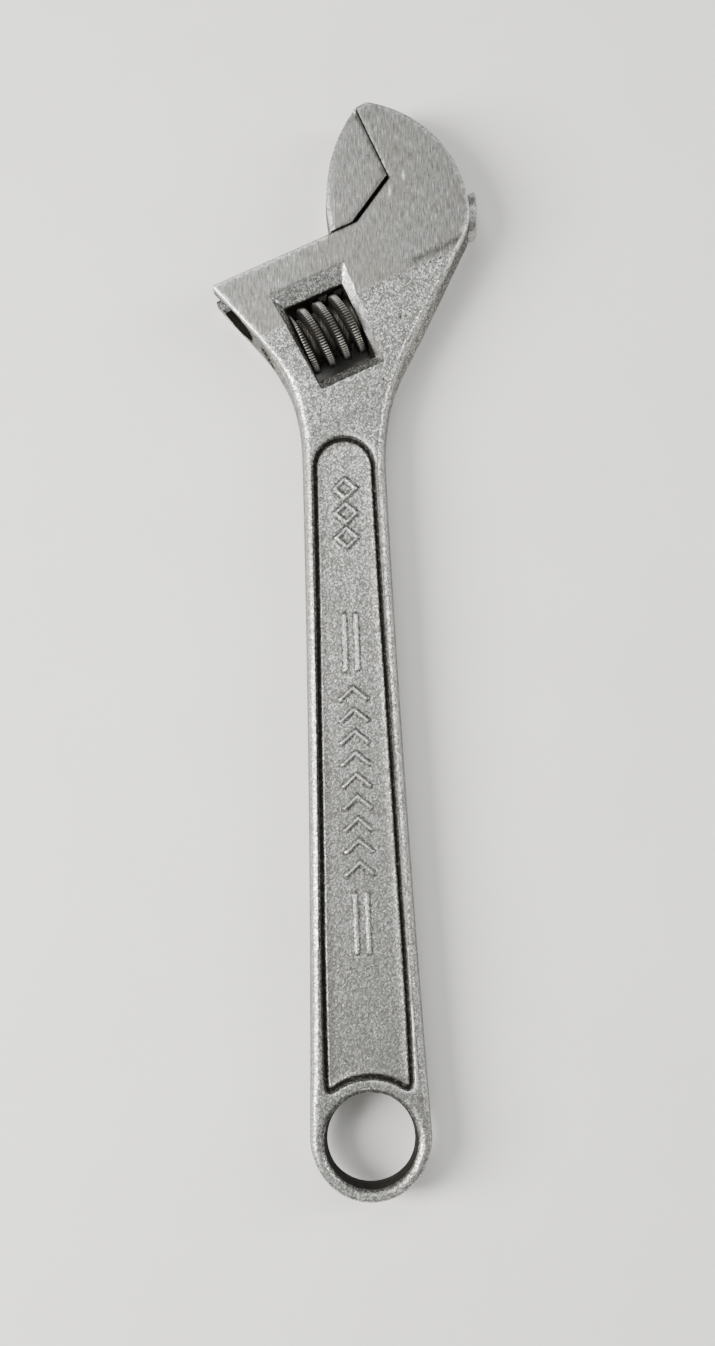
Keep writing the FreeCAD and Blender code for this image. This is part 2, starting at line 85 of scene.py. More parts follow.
@dataclass(frozen=True)
class Corner:
    """A corner of a traced outline.

    The way to the next corner is straight, or an arc of radius arc that turns left for a turn
    of 1 and right for -1. ease is how far back the corner is cut before it is rounded.
    """

    x: float
    y: float
    arc: float = 0.0
    turn: int = 0
    ease: float = 0.0


@dataclass(frozen=True)
class SlideFrame:
    """The head's own frame, in which the slide runs along u."""

    x: float = 5.2
    y: float = 210.4
    degrees: float = 22.5

    def matrix(self) -> np.ndarray:
        """Two by two turn from slide directions to row directions."""
        c, s = math.cos(math.radians(self.degrees)), math.sin(math.radians(self.degrees))
        return np.array([[c, -s], [s, c]])

    def to_row(self, points: np.ndarray) -> np.ndarray:
        """Turn and shift points' first two coordinates from the slide frame to the row frame.

        Args:
            points: Places (u, v, ...), in any array shape.

        Returns:
            The same array with (x, y) in place of (u, v).
        """
        moved = np.array(points, float)
        moved[..., :2] = moved[..., :2] @ self.matrix().T + (self.x, self.y)
        return moved

    def from_row(self, points: np.ndarray) -> np.ndarray:
        """Turn and shift points' first two coordinates from the row frame to the slide frame.

        Args:
            points: Places (x, y, ...), in any array shape.

        Returns:
            The same array with (u, v) in place of (x, y).
        """
        moved = np.array(points, float)
        moved[..., :2] = (moved[..., :2] - (self.x, self.y)) @ self.matrix()
        return moved


SLIDE = SlideFrame()

# Edge of the gripping faces and the shelf's inner part, in the slide frame.
GRIP = ((11.43, 25.7), (11.43, 6.6), (0.0, 0.0), (-7.0, 0.0))


def run_between(start: Corner, end: Corner, step: float) -> np.ndarray:
    """Points along one side of an outline, evenly spaced, both ends included.

    An arc's centre lies off the middle of its chord by sqrt(radius^2 - half chord^2), to the
    left for a left turn.

    Args:
        start: Corner that the side leaves, with its arc.
        end: Corner that it reaches.
        step: Longest spacing.

    Returns:
        Array of points, n by 2.
    """
    a, b = np.array([start.x, start.y]), np.array([end.x, end.y])
    chord = b - a
    length = np.hypot(*chord)
    if not start.turn:
        count = max(2, int(math.ceil(length / step)) + 1)
        return a + np.linspace(0, 1, count)[:, None] * chord
    left = np.array([-chord[1], chord[0]]) / length
    centre = (a + b) / 2 + start.turn * left * math.sqrt(max(start.arc**2 - length**2 / 4, 0))
    first = math.atan2(*(a - centre)[::-1])
    sweep = 2 * math.asin(min(1.0, length / 2 / start.arc)) * start.turn
    count = max(3, int(math.ceil(abs(sweep) * start.arc / step)) + 1)
    angles = first + np.linspace(0, 1, count) * sweep
    return centre + start.arc * np.stack([np.cos(angles), np.sin(angles)], -1)


def trim(run: np.ndarray, front: float, back: float) -> np.ndarray:
    """Cut a length off each end of a run of points.

    Args:
        run: Points, n by 2.
        front: Length cut off its start.
        back: Length cut off its end.

    Returns:
        The shorter run, with new points at both ends.
    """
    along = np.concatenate([[0], np.cumsum(np.hypot(*np.diff(run, axis=0).T))])
    low, high = front, along[-1] - back
    apart = 1e-6
    keep = (along > low + apart) & (along < high - apart)
    at = np.concatenate([[low], along[keep], [high]])
    return np.stack([np.interp(at, along, run[:, 0]), np.interp(at, along, run[:, 1])], -1)


def trace(corners: Sequence[Corner], step: float) -> np.ndarray:
    """Closed outline through corners, as points.

    An eased corner is the quadratic curve (1-t)^2 a + 2t(1-t) corner + t^2 b between the
    points that lie its ease back along both sides.

    Args:
        corners: The outline's corners, anticlockwise.
        step: Longest spacing along the sides.

    Returns:
        Array of points, n by 2, with the first not repeated.
    """
    pieces = []
    for corner, following in zip(corners, [*corners[1:], corners[0]]):
        run = trim(run_between(corner, following, step), corner.ease, following.ease)
        if corner.ease:
            before = pieces[-1][-1] if pieces else None
            if before is None:
                last = run_between(corners[-1], corner, step)
                before = trim(last, 0, corner.ease)[-1]
            t = np.linspace(0, 1, EASE_POINTS)[1:-1, None]
            tip = np.array([corner.x, corner.y])
            pieces.append((1 - t) ** 2 * before + 2 * t * (1 - t) * tip + t**2 * run[0])
        pieces.append(run if following.ease else run[:-1])
    return np.concatenate(pieces)


def inward(loop: np.ndarray) -> np.ndarray:
    """Unit normals that point into an anticlockwise outline.

    Args:
        loop: Points of the outline, n by 2.

    Returns:
        One normal per point.
    """
    along = np.roll(loop, -1, 0) - np.roll(loop, 1, 0)
    along /= np.hypot(*along.T)[:, None]
    return np.stack([-along[:, 1], along[:, 0]], -1)


def distance(points: np.ndarray, line: np.ndarray, closed: bool = True) -> np.ndarray:
    """Distance from each point to a run of straight pieces.

    The nearest place on a piece a-b is a + clip((p-a).(b-a)/|b-a|^2, 0, 1) (b-a).

    Args:
        points: Array n by 2.
        line: Points of the run.
        closed: Whether the run returns to its start.

    Returns:
        Array of n distances.
    """
    a = line if closed else line[:-1]
    b = np.roll(line, -1, 0) if closed else line[1:]
    span = b - a
    square = np.maximum((span**2).sum(1), TINY)
    nearest = np.empty(len(points))
    for low in range(0, len(points), BATCH):
        p = points[low:low + BATCH, None]
        t = np.clip(((p - a) * span).sum(2) / square, 0, 1)
        nearest[low:low + BATCH] = np.sqrt(((p - a - t[..., None] * span) ** 2).sum(2).min(1))
    return nearest


def inside(points: np.ndarray, loop: np.ndarray) -> np.ndarray:
    """True where a point lies in an outline: a line to its right crosses it an odd time.

    Args:
        points: Places, n by 2.
        loop: Points of the outline.

    Returns:
        One truth value per place.
    """
    a, b = loop, np.roll(loop, -1, 0)
    found = np.empty(len(points), bool)
    rise = np.where(b[:, 1] == a[:, 1], TINY, b[:, 1] - a[:, 1])
    for low in range(0, len(points), BATCH):
        x, y = points[low:low + BATCH, 0:1], points[low:low + BATCH, 1:2]
        spans = (a[:, 1] > y) != (b[:, 1] > y)
        crossing = a[:, 0] + (y - a[:, 1]) * (b[:, 0] - a[:, 0]) / rise
        found[low:low + BATCH] = (spans & (crossing > x)).sum(1) % 2 == 1
    return found


def ease_in(value: np.ndarray, low: float, high: float) -> np.ndarray:
    """Smooth step 3t^2 - 2t^3 from 0 at low to 1 at high."""
    t = np.clip((np.asarray(value, float) - low) / (high - low), 0, 1)
    return t * t * (3 - 2 * t)


def bell(value: np.ndarray, middle: float, width: float, power: int = 2) -> np.ndarray:
    """Bell curve exp(-((value - middle) / width)^power), 1 at its middle."""
    return np.exp(-((value - middle) / width) ** power)


def triangulate(loops: Sequence[np.ndarray], spots: np.ndarray,
                lines: Sequence[np.ndarray] = ()) -> tuple[np.ndarray, np.ndarray]:
    """Triangles that fill the first outline, less the others, through every spot.

    Args:
        loops: The outer outline, then the outlines of its holes.
        spots: Further points to pass through.
        lines: Closed runs inside that triangles must not cross.

    Returns:
        Points, n by 2, and triangles, m by 3. The loops' points come first, in order.
    """
    edges, start = [], 0
    for line in [*loops, *lines]:
        index = np.arange(len(line))
        edges += list(zip((start + index).tolist(), (start + np.roll(index, -1)).tolist()))
        start += len(line)
    points = np.concatenate([*loops, *lines, spots])
    same_place = 1e-5
    made = delaunay_2d_cdt([Vector(p) for p in points], edges, [], 0, same_place, False)
    flat = np.array([tuple(p) for p in made[0]])
    triangles = np.array([t for t in made[2] if len(t) == 3])
    middle = flat[triangles].mean(1)
    keep = inside(middle, loops[0])
    for hole in loops[1:]:
        keep &= ~inside(middle, hole)
    return flat, triangles[keep]


# ---------------------------------------------------------------------------------------------
# Meshes
# ---------------------------------------------------------------------------------------------

def net(rows: int, columns: int, closed_rows: bool = False,
        closed_columns: bool = False) -> np.ndarray:
    """Triangles of a grid of points held row by row.

    Args:
        rows: Number of rows.
        columns: Points in each row.
        closed_rows: Whether the last row joins the first.
        closed_columns: Whether each row ends where it starts.

    Returns:
        Triangles, m by 3, two to a cell.
    """
    i = np.arange(rows if closed_rows else rows - 1)[:, None]
    j = np.arange(columns if closed_columns else columns - 1)[None, :]
    below, beside = (i + 1) % rows, (j + 1) % columns
    a, b = i * columns + j, i * columns + beside
    c, d = below * columns + beside, below * columns + j
    return np.concatenate([np.stack([a, b, c], -1).reshape(-1, 3),
                           np.stack([a, c, d], -1).reshape(-1, 3)])


@dataclass
class Shell:
    """Points in millimetres and the triangles between them."""

    points: np.ndarray
    triangles: np.ndarray

    def joined(self, *others: "Shell") -> "Shell":
        """This shell and others in one.

        Args:
            others: Shells that are added.

        Returns:
            One shell, with nothing welded.
        """
        shells = [self, *others]
        starts = np.cumsum([0, *[len(s.points) for s in shells[:-1]]])
        return Shell(np.concatenate([s.points for s in shells]),
                     np.concatenate([s.triangles + at for s, at in zip(shells, starts)]))

    def mirrored(self) -> "Shell":
        """The shell reflected in the mid-plane, its faces turned to stay outward."""
        return Shell(self.points * (1, 1, -1), self.triangles[:, ::-1])

    def welded(self, grain: float = 1e-4) -> "Shell":
        """Join points that coincide, and drop the triangles that this flattens.

        Args:
            grain: Distance within which points coincide, in millimetres.

        Returns:
            The welded shell, without unused points.
        """
        keys = np.round(self.points / grain).astype(np.int64)
        _, first, same = np.unique(keys, axis=0, return_index=True, return_inverse=True)
        triangles = same.reshape(-1)[self.triangles]
        a, b, c = triangles.T
        triangles = triangles[(a != b) & (b != c) & (c != a)]
        used, packed = np.unique(triangles, return_inverse=True)
        return Shell(self.points[first][used], packed.reshape(-1, 3))

    def outward(self) -> "Shell":
        """Faces turned so that the volume, a sum of a.(b x c)/6, is positive.

        Returns:
            This shell, or one with every triangle turned.
        """
        a, b, c = (self.points[self.triangles[:, k]] for k in range(3))
        if (a * np.cross(b, c)).sum() < 0:
            return Shell(self.points, self.triangles[:, ::-1])
        return self

    def to_object(self, name: str) -> bpy.types.Object:
        """Make the shell a mesh object in metres, linked to the scene.

        Args:
            name: Name of the object and its mesh.

        Returns:
            The object.
        """
        mesh = bpy.data.meshes.new(name)
        mesh.vertices.add(len(self.points))
        mesh.vertices.foreach_set("co", (self.points * MILLIMETRE).astype(np.float32).ravel())
        mesh.loops.add(self.triangles.size)
        mesh.loops.foreach_set("vertex_index", self.triangles.astype(np.int32).ravel())
        mesh.polygons.add(len(self.triangles))
        starts = np.arange(len(self.triangles), dtype=np.int32) * 3
        mesh.polygons.foreach_set("loop_start", starts)
        mesh.update(calc_edges=True)
        mesh.validate()
        made = bpy.data.objects.new(name, mesh)
        bpy.context.scene.collection.objects.link(made)
        return made


def level_face(flat: np.ndarray, triangles: np.ndarray, height: np.ndarray) -> Shell:
    """Face over triangles in the plane, at a height for each point, all turned to look up.

    Args:
        flat: Points in the plane, n by 2.
        triangles: Triangles between them, m by 3.
        height: Height of each point.

    Returns:
        The face.
    """
    points = np.column_stack([flat, height])
    a, b, c = (points[triangles[:, k]] for k in range(3))
    up = np.cross(b - a, c - a)[:, 2] > 0
    return Shell(points, np.where(up[:, None], triangles, triangles[:, ::-1]))


def sweep(rows: np.ndarray, closed_rows: bool = False, closed_columns: bool = True) -> Shell:
    """Shell over a grid of points, rows by columns by 3."""
    count, columns = rows.shape[:2]
    return Shell(rows.reshape(-1, 3), net(count, columns, closed_rows, closed_columns))


def turned(profile: np.ndarray, axis_v: float, columns: int = 96) -> Shell:
    """Closed solid turned about a line along the slide.

    Args:
        profile: Points (u, radius) whose first and last radius are 0.
        axis_v: The line's v.
        columns: Points round the axis.

    Returns:
        The solid in the row frame.
    """
    angle = np.linspace(0, 2 * math.pi, columns, endpoint=False)
    u, radius = profile[:, 0, None], profile[:, 1, None]
    rows = np.stack([u + 0 * angle, axis_v + radius * np.cos(angle), radius * np.sin(angle)], -1)
    return Shell(SLIDE.to_row(rows).reshape(-1, 3),
                 net(len(profile), columns, closed_columns=True)).welded().outward()


def block(low: Sequence[float], high: Sequence[float]) -> Shell:
    """Closed box between two corners in the slide frame, given in the row frame.

    Args:
        low: Corner with the least u, v and z.
        high: Corner with the greatest.

    Returns:
        The box.
    """
    loop = np.array([[low[0], low[1]], [high[0], low[1]], [high[0], high[1]], [low[0], high[1]]])
    middle = np.repeat(loop.mean(0)[None], 4, 0)
    rows = [np.column_stack([ring, np.full(4, z)])
            for ring, z in ((middle, low[2]), (loop, low[2]), (loop, high[2]), (middle, high[2]))]
    return sweep(SLIDE.to_row(np.array(rows))).welded().outward()


class Joining(Enum):
    """How a tool's solid changes a piece."""

    CUT = "DIFFERENCE"
    ADD = "UNION"


def combine(piece: bpy.types.Object, tool: Shell, joining: Joining) -> None:
    """Cut a closed shell out of a piece or add it, and keep the result as the piece's mesh.

    Args:
        piece: The object that changes.
        tool: Closed shell in the row frame.
        joining: Whether it is cut out or added.
    """
    helper = tool.to_object("tool")
    modifier = piece.modifiers.new("joining", "BOOLEAN")
    modifier.operation, modifier.solver, modifier.object = joining.value, "EXACT", helper
    shape = piece.evaluated_get(bpy.context.evaluated_depsgraph_get())
    before, after = piece.data, bpy.data.meshes.new_from_object(shape)
    piece.modifiers.clear()
    piece.data = after
    bpy.data.meshes.remove(before)
    bpy.data.objects.remove(helper, do_unlink=True)


def finish_surface(piece: bpy.types.Object, crease: float) -> None:
    """Shade a piece smooth, with edges sharper than crease degrees kept crisp.

    Args:
        piece: The object.
        crease: Angle between faces, in degrees.
    """
    piece.data.polygons.foreach_set("use_smooth", np.ones(len(piece.data.polygons), bool))
    piece.data.set_sharp_from_angle(angle=math.radians(crease))
    piece.data.update()


def points_of(piece: bpy.types.Object) -> np.ndarray:
    """A piece's points in millimetres.

    Args:
        piece: The object.

    Returns:
        Array n by 3.
    """
    flat = np.empty(len(piece.data.vertices) * 3, np.float32)
    piece.data.vertices.foreach_get("co", flat)
    return flat.reshape(-1, 3).astype(float) / MILLIMETRE


def paint(piece: bpy.types.Object, name: str, amount: np.ndarray) -> None:
    """Store an amount from 0 to 1 at each point for the materials."""
    layer = piece.data.attributes.new(name, "FLOAT", "POINT")
    layer.data.foreach_set("value", np.clip(amount, 0, 1).astype(np.float32))


# ---------------------------------------------------------------------------------------------
# Finishes
# ---------------------------------------------------------------------------------------------

def linear(code: str) -> tuple[float, float, float, float]:
    """An sRGB hex colour as linear red, green, blue and a full alpha.

    Args:
        code: The colour as #RRGGBB.

    Returns:
        Four numbers from 0 to 1.
    """
    parts = [int(code[k:k + 2], 16) / 255 for k in (1, 3, 5)]
    r, g, b = (p / 12.92 if p <= 0.04045 else ((p + 0.055) / 1.055) ** 2.4 for p in parts)
    return r, g, b, 1.0


class Step(Enum):
    """What a node does: its type, settings, sockets in the order used, and output."""

    PLACE = ("ShaderNodeTexCoord", {}, (), "Object")
    PAINTED = ("ShaderNodeAttribute", {}, (), "Fac")
    STRETCH = ("ShaderNodeMapping", {}, ("Vector", "Rotation", "Scale"), "Vector")
    NOISE = ("ShaderNodeTexNoise", {}, ("Vector", "Scale", "Detail", "Roughness"), "Fac")
    FACETS = ("ShaderNodeTexVoronoi", {}, ("Vector", "Scale"), "Color")
    CELLS = ("ShaderNodeTexVoronoi", {}, ("Vector", "Scale"), "Distance")
    SPREAD = ("ShaderNodeMapRange", {"clamp": True}, (0, 1, 2, 3, 4), "Result")
    SUM = ("ShaderNodeMath", {"operation": "ADD", "use_clamp": True}, (0, 1), 0)
    DIFFERENCE = ("ShaderNodeMath", {"operation": "SUBTRACT", "use_clamp": True}, (0, 1), 0)
    PRODUCT = ("ShaderNodeMath", {"operation": "MULTIPLY", "use_clamp": True}, (0, 1), 0)
    COLOURS = ("ShaderNodeMix", {"data_type": "RGBA"}, (0, 6, 7), 2)
    NUMBERS = ("ShaderNodeMix", {"data_type": "FLOAT"}, (0, 2, 3), 0)
    RELIEF = ("ShaderNodeBump", {}, ("Strength", "Distance", "Height"), "Normal")


def fill(tree: bpy.types.NodeTree, node: bpy.types.Node, held: dict[Any, Any]) -> None:
    """Link each named socket of a node to the socket it should hold, or set its value.

    Args:
        tree: Tree that holds the node.
        node: The node.
        held: What each socket holds, by its name or number.
    """
    for key, value in held.items():
        if isinstance(value, bpy.types.NodeSocket):
            tree.links.new(value, node.inputs[key])
        else:
            node.inputs[key].default_value = value


def add(tree: bpy.types.NodeTree, step: Step, *values: Any, **settings: Any) -> Any:
    """Add one node, with its settings and links.

    Args:
        tree: Tree that it goes into.
        step: What the node does.
        values: What its sockets hold, in the step's order. SPREAD maps a value from
            low..high to 0..1 or to a further two numbers, COLOURS and NUMBERS mix a second
            and a third by the first.
        settings: Further properties of the node.

    Returns:
        The output that the step is used for.
    """
    kind, fixed, order, output = step.value
    node = tree.nodes.new(kind)
    for key, value in {**fixed, **settings}.items():
        setattr(node, key, value)
    fill(tree, node, dict(zip(order, values)))
    return node.outputs[output]


def per_metre(size: float) -> float:
    """Pattern scale on coordinates in metres for features of a size in millimetres."""
    return 1.0 / (size * MILLIMETRE)


def new_material(name: str) -> tuple[bpy.types.Material, bpy.types.NodeTree, bpy.types.Node]:
    """An empty material, its node tree and its surface shader, already joined up.

    Args:
        name: The material's name.

    Returns:
        The material, its tree and its shader.
    """
    material = bpy.data.materials.new(name)
    material.use_nodes = True
    tree = material.node_tree
    tree.nodes.clear()
    shader = tree.nodes.new("ShaderNodeBsdfPrincipled")
    output = tree.nodes.new("ShaderNodeOutputMaterial")
    tree.links.new(shader.outputs["BSDF"], output.inputs["Surface"])
    return material, tree, shader


@dataclass(frozen=True)
class SteelFinish:
    """Plated tool steel, forged and blasted in places and ground bright in others.

    Blasted skin under thin plating is a field of fine facets, each a little lighter or
    darker than the next. A few carry a painted glint and a few hold dirt. Ground faces have
    short straight scratches along the handle over a faint mottle. Both collect dark oily
    dirt in their corners. The same near-black also paints shade, and the near-white of
    rubbed wear also paints highlights.
    """

    name: str
    skin: str = "#A4A49F"
    skin_dark: str = "#676660"
    ground: str = "#90908B"
    ground_dark: str = "#5A5954"
    # Near-white of rubbed wear, painted highlights and painted glints.
    wear_and_highlight: str = "#EDECE8"
    # Near-black of dirt and painted shade.
    dirt_and_shade: str = "#1A1610"
    stain: str = "#6E6658"
    # Sizes of the patterns, in millimetres. Blasting leaves finer facets and grinding leaves
    # finer scratches than these, which are drawn as coarse as they need to show.
    facet: float = 0.3
    grain: float = 0.9
    patch: float = 12.0
    pit_spacing: float = 2.6
    pit_clusters: float = 3.4
    scratch_width: float = 0.3
    scratch_length: float = 2.6
    scratch_turn: float = 0.06
    relief: float = 0.06
    # Roughness of both surfaces, with how far their pattern moves it up and down.
    skin_roughness: float = 0.42
    skin_swing: tuple[float, float] = (0.1, -0.08)
    ground_roughness: float = 0.40
    ground_swing: tuple[float, float] = (0.08, -0.04)
    dirt_roughness: float = 0.78
    dirt_metallic: float = 0.7
    # How much of the skin's mottle comes from facets, and the rest from the grain.
    facet_share: float = 0.65
    # Ranges of a pattern that are spread from 0 to 1, or from the third number to the fourth.
    pit_core: tuple[float, ...] = (0.10, 0.02)
    pit_chance: tuple[float, ...] = (0.52, 0.60)
    deep_scratch: tuple[float, ...] = (0.62, 0.74)
    skin_light: tuple[float, ...] = (0.33, 0.65)
    # The brightest facets take the near-white as painted glints.
    skin_glint: tuple[float, ...] = (0.58, 0.68, 0.0, 0.8)
    skin_patch: tuple[float, ...] = (0.3, 0.7, 0.0, 0.3)
    ground_light: tuple[float, ...] = (0.36, 0.64)
    ground_mottle: tuple[float, ...] = (0.3, 0.6, 0.3, 0.0)
    ground_stain: tuple[float, ...] = (0.45, 0.75, 0.0, 0.35)
    wear_and_highlight_mottle: tuple[float, ...] = (0.3, 0.55, 0.25, 1.0)
    dirt_in_grain: tuple[float, ...] = (0.3, 0.7, 0.0, 0.35)
    dirt_and_shade_shown: tuple[float, ...] = (0.38, 0.95)
    scratch_relief: tuple[float, ...] = (0.2, 0.8, 0.0, 0.12)
    scratch_light: float = 0.7
    pit_dark: float = 0.8

    def build(self) -> bpy.types.Material:
        """Make the material. It reads the attributes ground, dirt_and_shade and
        wear_and_highlight, which hold painted shade and painted highlights as well as dirt and
        wear.

        Returns:
            The material.
        """
        material, tree, shader = new_material(self.name)
        place = add(tree, Step.PLACE)
        ground, dirt_and_shade, wear_and_highlight = (add(tree, Step.PAINTED, attribute_name=name)
                              for name in ("ground", "dirt_and_shade", "wear_and_highlight"))

        # One random shade per facet, a softer grain over it, and slow patches.
        facet = add(tree, Step.FACETS, place, per_metre(self.facet))
        grain = add(tree, Step.NOISE, place, per_metre(self.grain), 3.0, 0.7)
        patch = add(tree, Step.NOISE, place, per_metre(self.patch), 3.0, 0.6)
        mottle = add(tree, Step.SUM, add(tree, Step.PRODUCT, facet, self.facet_share),
                     add(tree, Step.PRODUCT, grain, 1 - self.facet_share))

        # A small pit in the middle of some cells, where a second pattern allows it.
        cells = add(tree, Step.CELLS, place, per_metre(self.pit_spacing))
        chance = add(tree, Step.NOISE, place, per_metre(self.pit_clusters), 1.0)
        pits = add(tree, Step.PRODUCT, add(tree, Step.SPREAD, cells, *self.pit_core),
                   add(tree, Step.SPREAD, chance, *self.pit_chance))

        # Short scratches: noise squeezed across the handle and drawn out along it.
        along = per_metre(self.scratch_length)
        stretch = add(tree, Step.STRETCH, place, (0.0, 0.0, self.scratch_turn),
                      (per_metre(self.scratch_width), along, along))
        scratch = add(tree, Step.NOISE, stretch, 1.0, 4.0, 0.7)
        deep = add(tree, Step.SPREAD, scratch, *self.deep_scratch)

        # Each layer of colour lies over the one before by its own amount.
        skin, bright = linear(self.skin_dark), linear(self.ground_dark)
        for pattern, shares, colour in ((mottle, self.skin_light, self.skin),
                                        (mottle, self.skin_glint, self.wear_and_highlight),
                                        (patch, self.skin_patch, self.skin_dark)):
            amount = add(tree, Step.SPREAD, pattern, *shares)
            skin = add(tree, Step.COLOURS, amount, skin, linear(colour))
        for amount, colour in (
                (add(tree, Step.SPREAD, scratch, *self.ground_light), self.ground),
                (add(tree, Step.SPREAD, mottle, *self.ground_mottle), self.ground_dark),
                (add(tree, Step.PRODUCT, deep, self.scratch_light), self.wear_and_highlight),
                (add(tree, Step.SPREAD, patch, *self.ground_stain), self.stain)):
            bright = add(tree, Step.COLOURS, amount, bright, linear(colour))

        # Dirt and painted shade gather in the low spots of the grain first.
        low = add(tree, Step.SPREAD, grain, *self.dirt_in_grain)
        held = add(tree, Step.SPREAD, add(tree, Step.SUM, dirt_and_shade, low), *self.dirt_and_shade_shown)
        # The near-white layer is rubbed wear with painted highlights.
        rubbed = add(tree, Step.SPREAD, mottle, *self.wear_and_highlight_mottle)
        colour = add(tree, Step.COLOURS, ground, skin, bright)
        for amount, layer in ((add(tree, Step.PRODUCT, wear_and_highlight, rubbed), self.wear_and_highlight),
                              (add(tree, Step.PRODUCT, pits, self.pit_dark), self.dirt_and_shade),
                              (held, self.dirt_and_shade)):
            colour = add(tree, Step.COLOURS, amount, colour, linear(layer))

        rough = add(tree, Step.NUMBERS, ground,
                    add(tree, Step.SPREAD, mottle, 0.3, 0.7,
                        *(self.skin_roughness + swing for swing in self.skin_swing)),
                    add(tree, Step.SPREAD, scratch, 0.3, 0.7,
                        *(self.ground_roughness + swing for swing in self.ground_swing)))
        height = add(tree, Step.NUMBERS, ground, add(tree, Step.SPREAD, grain, 0.25, 0.75),
                     add(tree, Step.SPREAD, scratch, *self.scratch_relief))
        fill(tree, shader, {
            "Base Color": colour,
            "Roughness": add(tree, Step.NUMBERS, held, rough, self.dirt_roughness),
            "Metallic": add(tree, Step.SPREAD, held, 0.0, 1.0, 1.0, self.dirt_metallic),
            "Normal": add(tree, Step.RELIEF, 1.0, self.relief * MILLIMETRE,
                          add(tree, Step.DIFFERENCE, height, pits))})
        return material


@dataclass(frozen=True)
class OiledSteelFinish:
    """Bare turned steel under old oil, as on the worm, its pin and its spring.

    The high edges are rubbed bright and everything below them is brown-black with oil and
    dust, which gives broad dull highlights instead of sharp ones.
    """

    name: str
    bright: str = "#8C8982"
    dull: str = "#453F36"
    oil: str = "#120F0B"
    roughness: float = 0.42
    oil_roughness: float = 0.62
    oil_metallic: float = 0.5
    grain: float = 0.5
    turning_pitch: float = 0.25
    turning_length: float = 9.0
    relief: float = 0.012
    axis_degrees: float = 22.5

    def build(self) -> bpy.types.Material:
        """Make the material. It reads the attributes wear_and_highlight and dirt_and_shade.

        Returns:
            The material.
        """
        material, tree, shader = new_material(self.name)
        place = add(tree, Step.PLACE)
        wear_and_highlight, dirt_and_shade = (add(tree, Step.PAINTED, attribute_name=name) for name in ("wear_and_highlight", "dirt_and_shade"))
        grain = add(tree, Step.NOISE, place, per_metre(self.grain), 3.0, 0.6)

        # Turning marks: noise fine along the axis and drawn out round it.
        across = per_metre(self.turning_length)
        along = add(tree, Step.STRETCH, place, (0.0, 0.0, -math.radians(self.axis_degrees)),
                    (per_metre(self.turning_pitch), across, across))
        rings = add(tree, Step.NOISE, along, 1.0, 2.0, 0.5)
        held = add(tree, Step.SPREAD,
                   add(tree, Step.SUM, dirt_and_shade, add(tree, Step.SPREAD, grain, 0.35, 0.65, 0.0, 0.3)),
                   0.2, 1.0)
        colour = linear(self.dull)
        for amount, layer in ((add(tree, Step.SPREAD, rings, 0.35, 0.65), self.bright),
                              (wear_and_highlight, self.bright), (held, self.oil)):
            colour = add(tree, Step.COLOURS, amount, colour, linear(layer))
        height = add(tree, Step.SUM, add(tree, Step.PRODUCT, rings, 0.5),
                     add(tree, Step.PRODUCT, grain, 0.5))
        fill(tree, shader, {
            "Base Color": colour,
            "Roughness": add(tree, Step.NUMBERS, held, self.roughness, self.oil_roughness),
            "Metallic": add(tree, Step.SPREAD, held, 0.0, 1.0, 1.0, self.oil_metallic),
            "Normal": add(tree, Step.RELIEF, 0.8, self.relief * MILLIMETRE, height)})
        return material


@dataclass(frozen=True)
class FloorFinish:
    """Matt painted board, pale and even, with a mottle too faint to read as a pattern."""

    name: str = "matt_painted_board"
    light: str = "#E6E4DF"
    shade: str = "#DEDCD6"
    mottle: float = 30.0
    roughness: float = 0.85

    def build(self) -> bpy.types.Material:
        """Make the material.

        Returns:
            The material.
        """
        material, tree, shader = new_material(self.name)
        mottle = add(tree, Step.NOISE, add(tree, Step.PLACE), per_metre(self.mottle), 2.0)
        fill(tree, shader, {
            "Base Color": add(tree, Step.COLOURS, mottle, linear(self.shade),
                              linear(self.light)),
            "Roughness": self.roughness})
        return material


# ---------------------------------------------------------------------------------------------
# Flat forged or ground plates with a worked rim
# ---------------------------------------------------------------------------------------------

@dataclass
class Rim:
    """A wall and rounded edge carried round an outline, for one half of a plate.

    From the mid-plane the wall leans in by draft until it is drop below the face, and then a
    quarter ellipse of width reach takes it to the face. Stopping the ellipse short of level,
    at stop degrees, leaves a crease where it meets the face. Each field is one number per
    point of the outline.
    """

    draft: np.ndarray
    reach: np.ndarray
    drop: np.ndarray
    stop: float = 72.0
    wall_rows: int = 4
    round_rows: int = 6

    def depth(self) -> np.ndarray:
        """How far inside the outline the face begins."""
        return self.draft + self.reach

    def rows(self, loop: np.ndarray, normals: np.ndarray,
             height: np.ndarray) -> np.ndarray:
        """Points of the wall and edge.

        Args:
            loop: The outline at the mid-plane.
            normals: Its inward normals.
            height: Height of the face at each point of the outline.

        Returns:
            Array rows by points by 3, from the mid-plane up to the face.
        """
        share = np.linspace(0, 1, self.wall_rows)[:, None]
        angle = np.radians(np.linspace(0, self.stop, self.round_rows + 1)[1:, None])
        top = math.radians(self.stop)
        into = np.concatenate([share * self.draft, self.draft + self.reach
                               * (1 - np.cos(angle)) / (1 - math.cos(top))])
        rise = np.concatenate([share * (height - self.drop), height - self.drop
                               * (1 - np.sin(angle) / math.sin(top))])
        flat = loop + into[..., None] * normals
        return np.concatenate([flat, rise[..., None]], -1)


def spaced_grid(low: Sequence[float], high: Sequence[float], step: float) -> np.ndarray:
    """Points of a triangular lattice over a rectangle.

    Args:
        low: Lower left corner.
        high: Upper right corner.
        step: Spacing.

    Returns:
        Points, n by 2.
    """
    y = np.arange(low[1], high[1], step * math.sqrt(3) / 2)
    x = np.arange(low[0], high[0], step)
    grid = np.stack(np.meshgrid(x, y), -1)
    grid[1::2, :, 0] += step / 2
    return grid.reshape(-1, 2)


